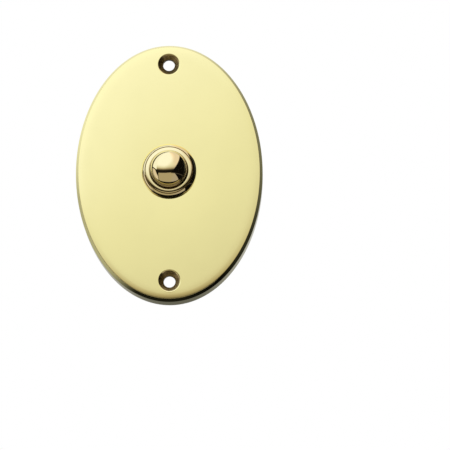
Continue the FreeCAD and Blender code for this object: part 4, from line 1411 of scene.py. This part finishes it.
class BELLPUSH_OT_contacts(bpy.types.Operator):
    """Dress the spring leaf, the bent strip and their contact points"""

    bl_idname = "bell_push.contacts"
    bl_label = "Contacts"

    def execute(self, context):
        switch = context.scene.bell_push_switch
        edge = switch.pressed_edge
        leaf = dressed("spring_leaf", "moving_contact", None, "phosphor_bronze", edge)
        leaf.modifiers.clear()
        clamp = switch.terminal_washer - TERMINAL_OFFSET
        slice_across(leaf, even_steps(clamp, 0.0, LEAF_SPACING)[1:-1])
        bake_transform(leaf)
        dressed("bent_strip", "fixed_contact", "plate", "turned_brass", edge)
        dressed("moving_point", "contact_rivet_moving", "button", "contact_silver", edge)
        dressed("fixed_point", "contact_rivet_fixed", "plate", "contact_silver", edge)
        return {"FINISHED"}


def slice_across(piece, places):
    """Cut a piece's faces along planes of constant X."""
    shape = bmesh.new()
    shape.from_mesh(piece.data)
    for place in places:
        everything = list(shape.verts) + list(shape.edges) + list(shape.faces)
        bmesh.ops.bisect_plane(
            shape, geom=everything, dist=WELD, plane_co=(place, 0, 0), plane_no=(1, 0, 0)
        )
    shape.to_mesh(piece.data)
    shape.free()


class BELLPUSH_OT_fasteners(bpy.types.Operator):
    """Make the screws, nuts and washers of the switch and the collar"""

    bl_idname = "bell_push.fasteners"
    bl_label = "Screws, nuts and washers"

    def execute(self, context):
        switch = context.scene.bell_push_switch
        for node, slot in NUTS_AND_WASHERS.items():
            dressed(node + "_piece", node, "plate", slot, switch.pressed_edge)
        tree = screw_tree()
        for node, (washer, slot, turn) in SCREWS.items():
            thread = switch.terminal_thread if slot == "turned_brass" else switch.base_thread
            low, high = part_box(node)
            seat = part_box(washer)[1].y
            piece = grown(
                node + "_piece", tree, SHARP,
                thread_radius=thread, thread_depth=switch.fine_depth, pitch=switch.fine_pitch,
                length=seat - low.y, head_radius=(high.x - low.x) / 2, head_height=high.y - seat,
                head_chamfer=switch.head_chamfer, slot_width=switch.slot_width,
                slot_depth=switch.slot_depth, slot_turn=turn,
                finish=finish_of(FINISH_OF_SLOT.get(slot, slot)))
            middle = middle_of(node)
            piece.data.transform(Matrix.Translation((middle.x, seat, middle.z)))
            hand_over(piece, "plate", slot, node)
        return {"FINISHED"}
# Stage

WHITE = (1.0, 1.0, 1.0, 1.0)
PLAIN_LIGHT = (0.62, 0.62, 0.62, 1.0)
FLOOR_COLOUR = (0.86, 0.86, 0.85, 1.0)
FLOOR_ROUGHNESS = 0.9
SENSOR_WIDTH = 36.0
NEAREST_SEEN = 0.01
LAMP_SIZE = 0.7
LAMPS = {"Key": (-0.5, -0.8, 0.8), "Back": (0.4, 0.9, 0.7)}

# Window that the brass mirrors: its brightness by elevation in degrees, and its lower
# edge, which sags by the square of the azimuth from a middle

WINDOW_RISE = [(-90, 0.0), (-11, 0.01), (-8, 0.07), (-6, 0.2), (-3, 0.42), (1, 0.64), (6, 0.82),
               (11, 0.93), (18, 1.0), (90, 1.0)]
SAG_MIDDLE = 9.0
SAG = 0.0033

# Edges in the studio as planes: normal, offset from the middle and softness

SEAM_TOP = ((0.24, -0.56, 1.0), -0.067, 0.02)
SEAM_FOOT = ((0.24, -0.56, 1.0), 0.008, 0.018)
FLOOR_EDGE = ((0.0, -1.0, 0.656), 0.25, 0.02)
HIGH_DARK = ((1.0, 0.609, -0.797), 0.06, 0.025)
LOW_DARK = ((1.0, 0.223, 0.968), 0.04, 0.02)
PANEL_NORMAL = (1.0, -1.054, -0.572)

# Light in the darkest parts, and tints of dim, middling, bright and peach light

DARKEST = 0.004
DIM_TINT = (1.0, 0.83, 0.64, 1.0)
CLEAR_TINT = (1.0, 0.99, 0.99, 1.0)
BRIGHT_TINT = (1.0, 1.01, 1.17, 1.0)
PEACH_TINT = (1.0, 0.86, 0.86, 1.0)


def studio_light(graph):
    """Colour of the studio in each direction, for reflections."""
    place = graph.add("ShaderNodeTexCoord").outputs["Generated"]
    parts = graph.add("ShaderNodeSeparateXYZ", {"Vector": place}).outputs
    right, up = parts["X"], parts["Z"]
    front = graph.times(parts["Y"], -1.0)
    azimuth = graph.times(graph.math("ARCTAN2", right, front), math.degrees(1.0))
    elevation = graph.times(graph.math("ARCSINE", up), math.degrees(1.0))
    ahead = ahead_light(graph, place, up, azimuth, elevation)
    return graph.blend(graph.smooth(front, -0.08, 0.0), rear_light(graph, right, elevation), ahead)


def beyond(graph, place, plane):
    """Soft mask of what lies beyond a plane near the middle of the studio."""
    normal, offset, softness = plane
    return graph.smooth(graph.plus(graph.dot(place, normal), offset), -softness, softness)


def ahead_light(graph, place, up, azimuth, elevation):
    """Tinted light of what stands in front of the part."""
    # Window in front, whose lower edge sags in the middle
    sideways = graph.plus(azimuth, SAG_MIDDLE)
    sagging = graph.minus(elevation, graph.times(sideways, sideways, SAG))
    height = graph.over(graph.plus(sagging, 90.0), 180.0)
    window = graph.ramp(height, [((angle + 90) / 180, shade) for angle, shade in WINDOW_RISE])
    falloff = graph.minus(azimuth, graph.times(elevation, 0.9))
    window = graph.times(window, graph.smooth(falloff, -30.0, 4.0, 1.07, 0.85))

    # Left wall, with a dark seam that rises to the left, and the panel below the seam
    is_left = graph.smooth(azimuth, -61.0, -57.0, 1.0, 0.0)
    over = graph.blend_numbers(is_left, window, beyond(graph, place, SEAM_TOP))
    under_seam = graph.minus(1.0, beyond(graph, place, SEAM_FOOT))
    side = graph.dot(place, PANEL_NORMAL)
    wedge = graph.times(graph.math("MAXIMUM", 0.0, graph.plus(up, 0.49)), 0.95)
    panel_edge = graph.plus(graph.plus(side, wedge), 0.047)
    panel = graph.times(graph.smooth(panel_edge, -0.035, 0.0, 0.74, 0.0), under_seam)

    # Table patch under the window, up to a black floor
    patch = graph.times(graph.smooth(sagging, -23.4, -21.4, 0.42, 0.0),
                        graph.smooth(side, -0.01, 0.02))
    below = graph.times(graph.math("MAXIMUM", panel, patch), beyond(graph, place, FLOOR_EDGE))

    # Dark side of the room on the right, above and below the horizon
    high_dark = graph.times(beyond(graph, place, HIGH_DARK), graph.smooth(elevation, -26.0, -20.0))
    low_dark = graph.times(beyond(graph, place, LOW_DARK),
                           graph.smooth(elevation, -24.0, -18.0, 1.0, 0.0))
    bright = graph.minus(1.0, graph.math("MAXIMUM", high_dark, low_dark))
    lit = graph.times(graph.math("MAXIMUM", over, below), bright,
                      graph.smooth(azimuth, -86.0, -80.0))
    lit = graph.plus(lit, DARKEST)

    # Tints: dim light is warm, the right of the window and the panel are peach
    tint = graph.blend(graph.smooth(lit, 0.3, 0.85), DIM_TINT, CLEAR_TINT)
    tint = graph.blend(graph.smooth(lit, 0.84, 1.04), tint, BRIGHT_TINT)
    peach = graph.math("MAXIMUM", graph.smooth(azimuth, 12.0, 40.0),
                       graph.smooth(panel, 0.2, 0.6))
    tint = graph.blend(peach, tint, PEACH_TINT)
    return graph.sum("ShaderNodeVectorMath", "MULTIPLY", (tint, graph.point(lit, lit, lit)))[0]


def rear_light(graph, right, elevation):
    """Grey light behind the part, brighter above, with a low glow on the left."""
    rear = graph.plus(graph.smooth(elevation, -40.0, -12.0, 0.01, 0.12),
                      graph.smooth(elevation, -12.0, 25.0, 0.0, 0.75))
    rear = graph.times(rear, graph.smooth(right, 0.0, 0.8, 1.0, 0.22))
    left_low = graph.times(graph.smooth(right, -0.9, -0.45, 0.45, 0.0),
                           graph.smooth(elevation, -60.0, -25.0))
    rear = graph.math("MAXIMUM", rear, left_low)
    return graph.point(rear, rear, rear)


def make_world():
    """White to the camera, plain light on dull surfaces, the studio in reflections."""
    world = bpy.data.worlds.new("Studio")
    world.use_nodes = True
    world.node_tree.nodes.clear()
    graph = Graph(world.node_tree)
    ray = graph.add("ShaderNodeLightPath").outputs
    plain = graph.blend(ray["Is Glossy Ray"], PLAIN_LIGHT, studio_light(graph))
    clear = graph.math("MAXIMUM", ray["Is Camera Ray"], ray["Is Transmission Ray"])
    seen = graph.blend(clear, plain, WHITE)
    background = graph.add("ShaderNodeBackground", {"Color": seen, "Strength": 1.0})
    graph.add("ShaderNodeOutputWorld", {"Surface": background.outputs["Background"]})
    bpy.context.scene.world = world


def make_floor(stage):
    """A plain pale floor, well below a part that hangs on a wall."""
    skin = Skin()
    rim = skin.ring(level(circle(0.0, 0.0, stage.floor_radius, HOLE_SIDES), 0.0))
    middle = skin.ring([(0.0, 0.0, 0.0)])
    skin.band(rim, middle)
    mesh = bpy.data.meshes.new("studio_floor")
    mesh.from_pydata([(x, z, -stage.floor_drop) for x, _, z in skin.points], [], skin.faces)
    floor = bpy.data.objects.new("studio_floor", mesh)
    bpy.context.scene.collection.objects.link(floor)
    material = new_finish("studio_floor", Roughness=FLOOR_ROUGHNESS, Base_Color=FLOOR_COLOUR)[0]
    mesh.materials.append(material)
    floor.visible_glossy = False


def make_camera(stage):
    """The camera, aimed so that the plate stands left of and above the middle."""
    back = Vector((
        math.sin(stage.azimuth) * math.cos(stage.elevation),
        -math.cos(stage.azimuth) * math.cos(stage.elevation),
        math.sin(stage.elevation),
    ))
    face = Vector((0.0, FACE_Y, 0.0))
    data = bpy.data.cameras.new("Studio camera")
    data.sensor_width = SENSOR_WIDTH
    data.lens = data.sensor_width * stage.distance / stage.view_width
    camera = bpy.data.objects.new("Studio camera", data)
    bpy.context.scene.collection.objects.link(camera)
    camera.location = face + back * stage.distance
    square_on = (-back).to_track_quat("-Z", "Y")
    aim = face + square_on @ Vector((stage.across, -stage.down, 0.0))
    turn = (aim - camera.location).to_track_quat("-Z", "Y").to_matrix()
    camera.rotation_euler = (turn @ Matrix.Rotation(stage.roll, 3, "Z")).to_euler()
    data.clip_start = NEAREST_SEEN
    bpy.context.scene.camera = camera


def make_lamp(name, place, power):
    """A soft square lamp aimed at the object."""
    data = bpy.data.lights.new(name, "AREA")
    data.shape = "SQUARE"
    data.size = LAMP_SIZE
    data.energy = power
    lamp = bpy.data.objects.new(name, data)
    bpy.context.scene.collection.objects.link(lamp)
    lamp.location = place
    lamp.rotation_euler = (-Vector(place)).to_track_quat("-Z", "Y").to_euler()
    lamp.visible_glossy = False


class BELLPUSH_OT_stage(bpy.types.Operator):
    """Set the floor, the soft light and the camera"""

    bl_idname = "bell_push.stage"
    bl_label = "Stage"

    def execute(self, context):
        stage = context.scene.bell_push_stage
        context.scene.view_settings.view_transform = "Standard"
        make_world()
        make_floor(stage)
        make_camera(stage)
        for name, place in LAMPS.items():
            make_lamp(name, place, stage.key_light)
        return {"FINISHED"}


# Panel and registration


class BELLPUSH_PT_panel(bpy.types.Panel):
    """Lists the pieces and the stage"""

    bl_idname = "BELLPUSH_PT_panel"
    bl_label = "Bell push"
    bl_space_type = "VIEW_3D"
    bl_region_type = "UI"
    bl_category = "Bell push"

    def draw(self, context):
        for operator in OPERATORS:
            self.layout.operator(operator.bl_idname)


OPERATORS = [
    BELLPUSH_OT_plate,
    BELLPUSH_OT_collar,
    BELLPUSH_OT_button,
    BELLPUSH_OT_spring,
    BELLPUSH_OT_contact_base,
    BELLPUSH_OT_contacts,
    BELLPUSH_OT_fasteners,
    BELLPUSH_OT_stage,
]


def register():
    """Add the classes and the scene's settings."""
    for kind in [*GROUPS.values(), *OPERATORS, BELLPUSH_PT_panel]:
        bpy.utils.register_class(kind)
    for name, group in GROUPS.items():
        setattr(bpy.types.Scene, "bell_push_" + name, PointerProperty(type=group))


def unregister():
    """Take the settings and the classes away again."""
    for name in GROUPS:
        delattr(bpy.types.Scene, "bell_push_" + name)
    for kind in reversed([*GROUPS.values(), *OPERATORS, BELLPUSH_PT_panel]):
        bpy.utils.unregister_class(kind)


def main():
    """Make every piece and the stage."""
    register()
    bpy.ops.bell_push.plate()
    bpy.ops.bell_push.collar()
    bpy.ops.bell_push.button()
    bpy.ops.bell_push.spring()
    bpy.ops.bell_push.contact_base()
    bpy.ops.bell_push.contacts()
    bpy.ops.bell_push.fasteners()
    bpy.ops.bell_push.stage()


if __name__ == "__main__":
    main()
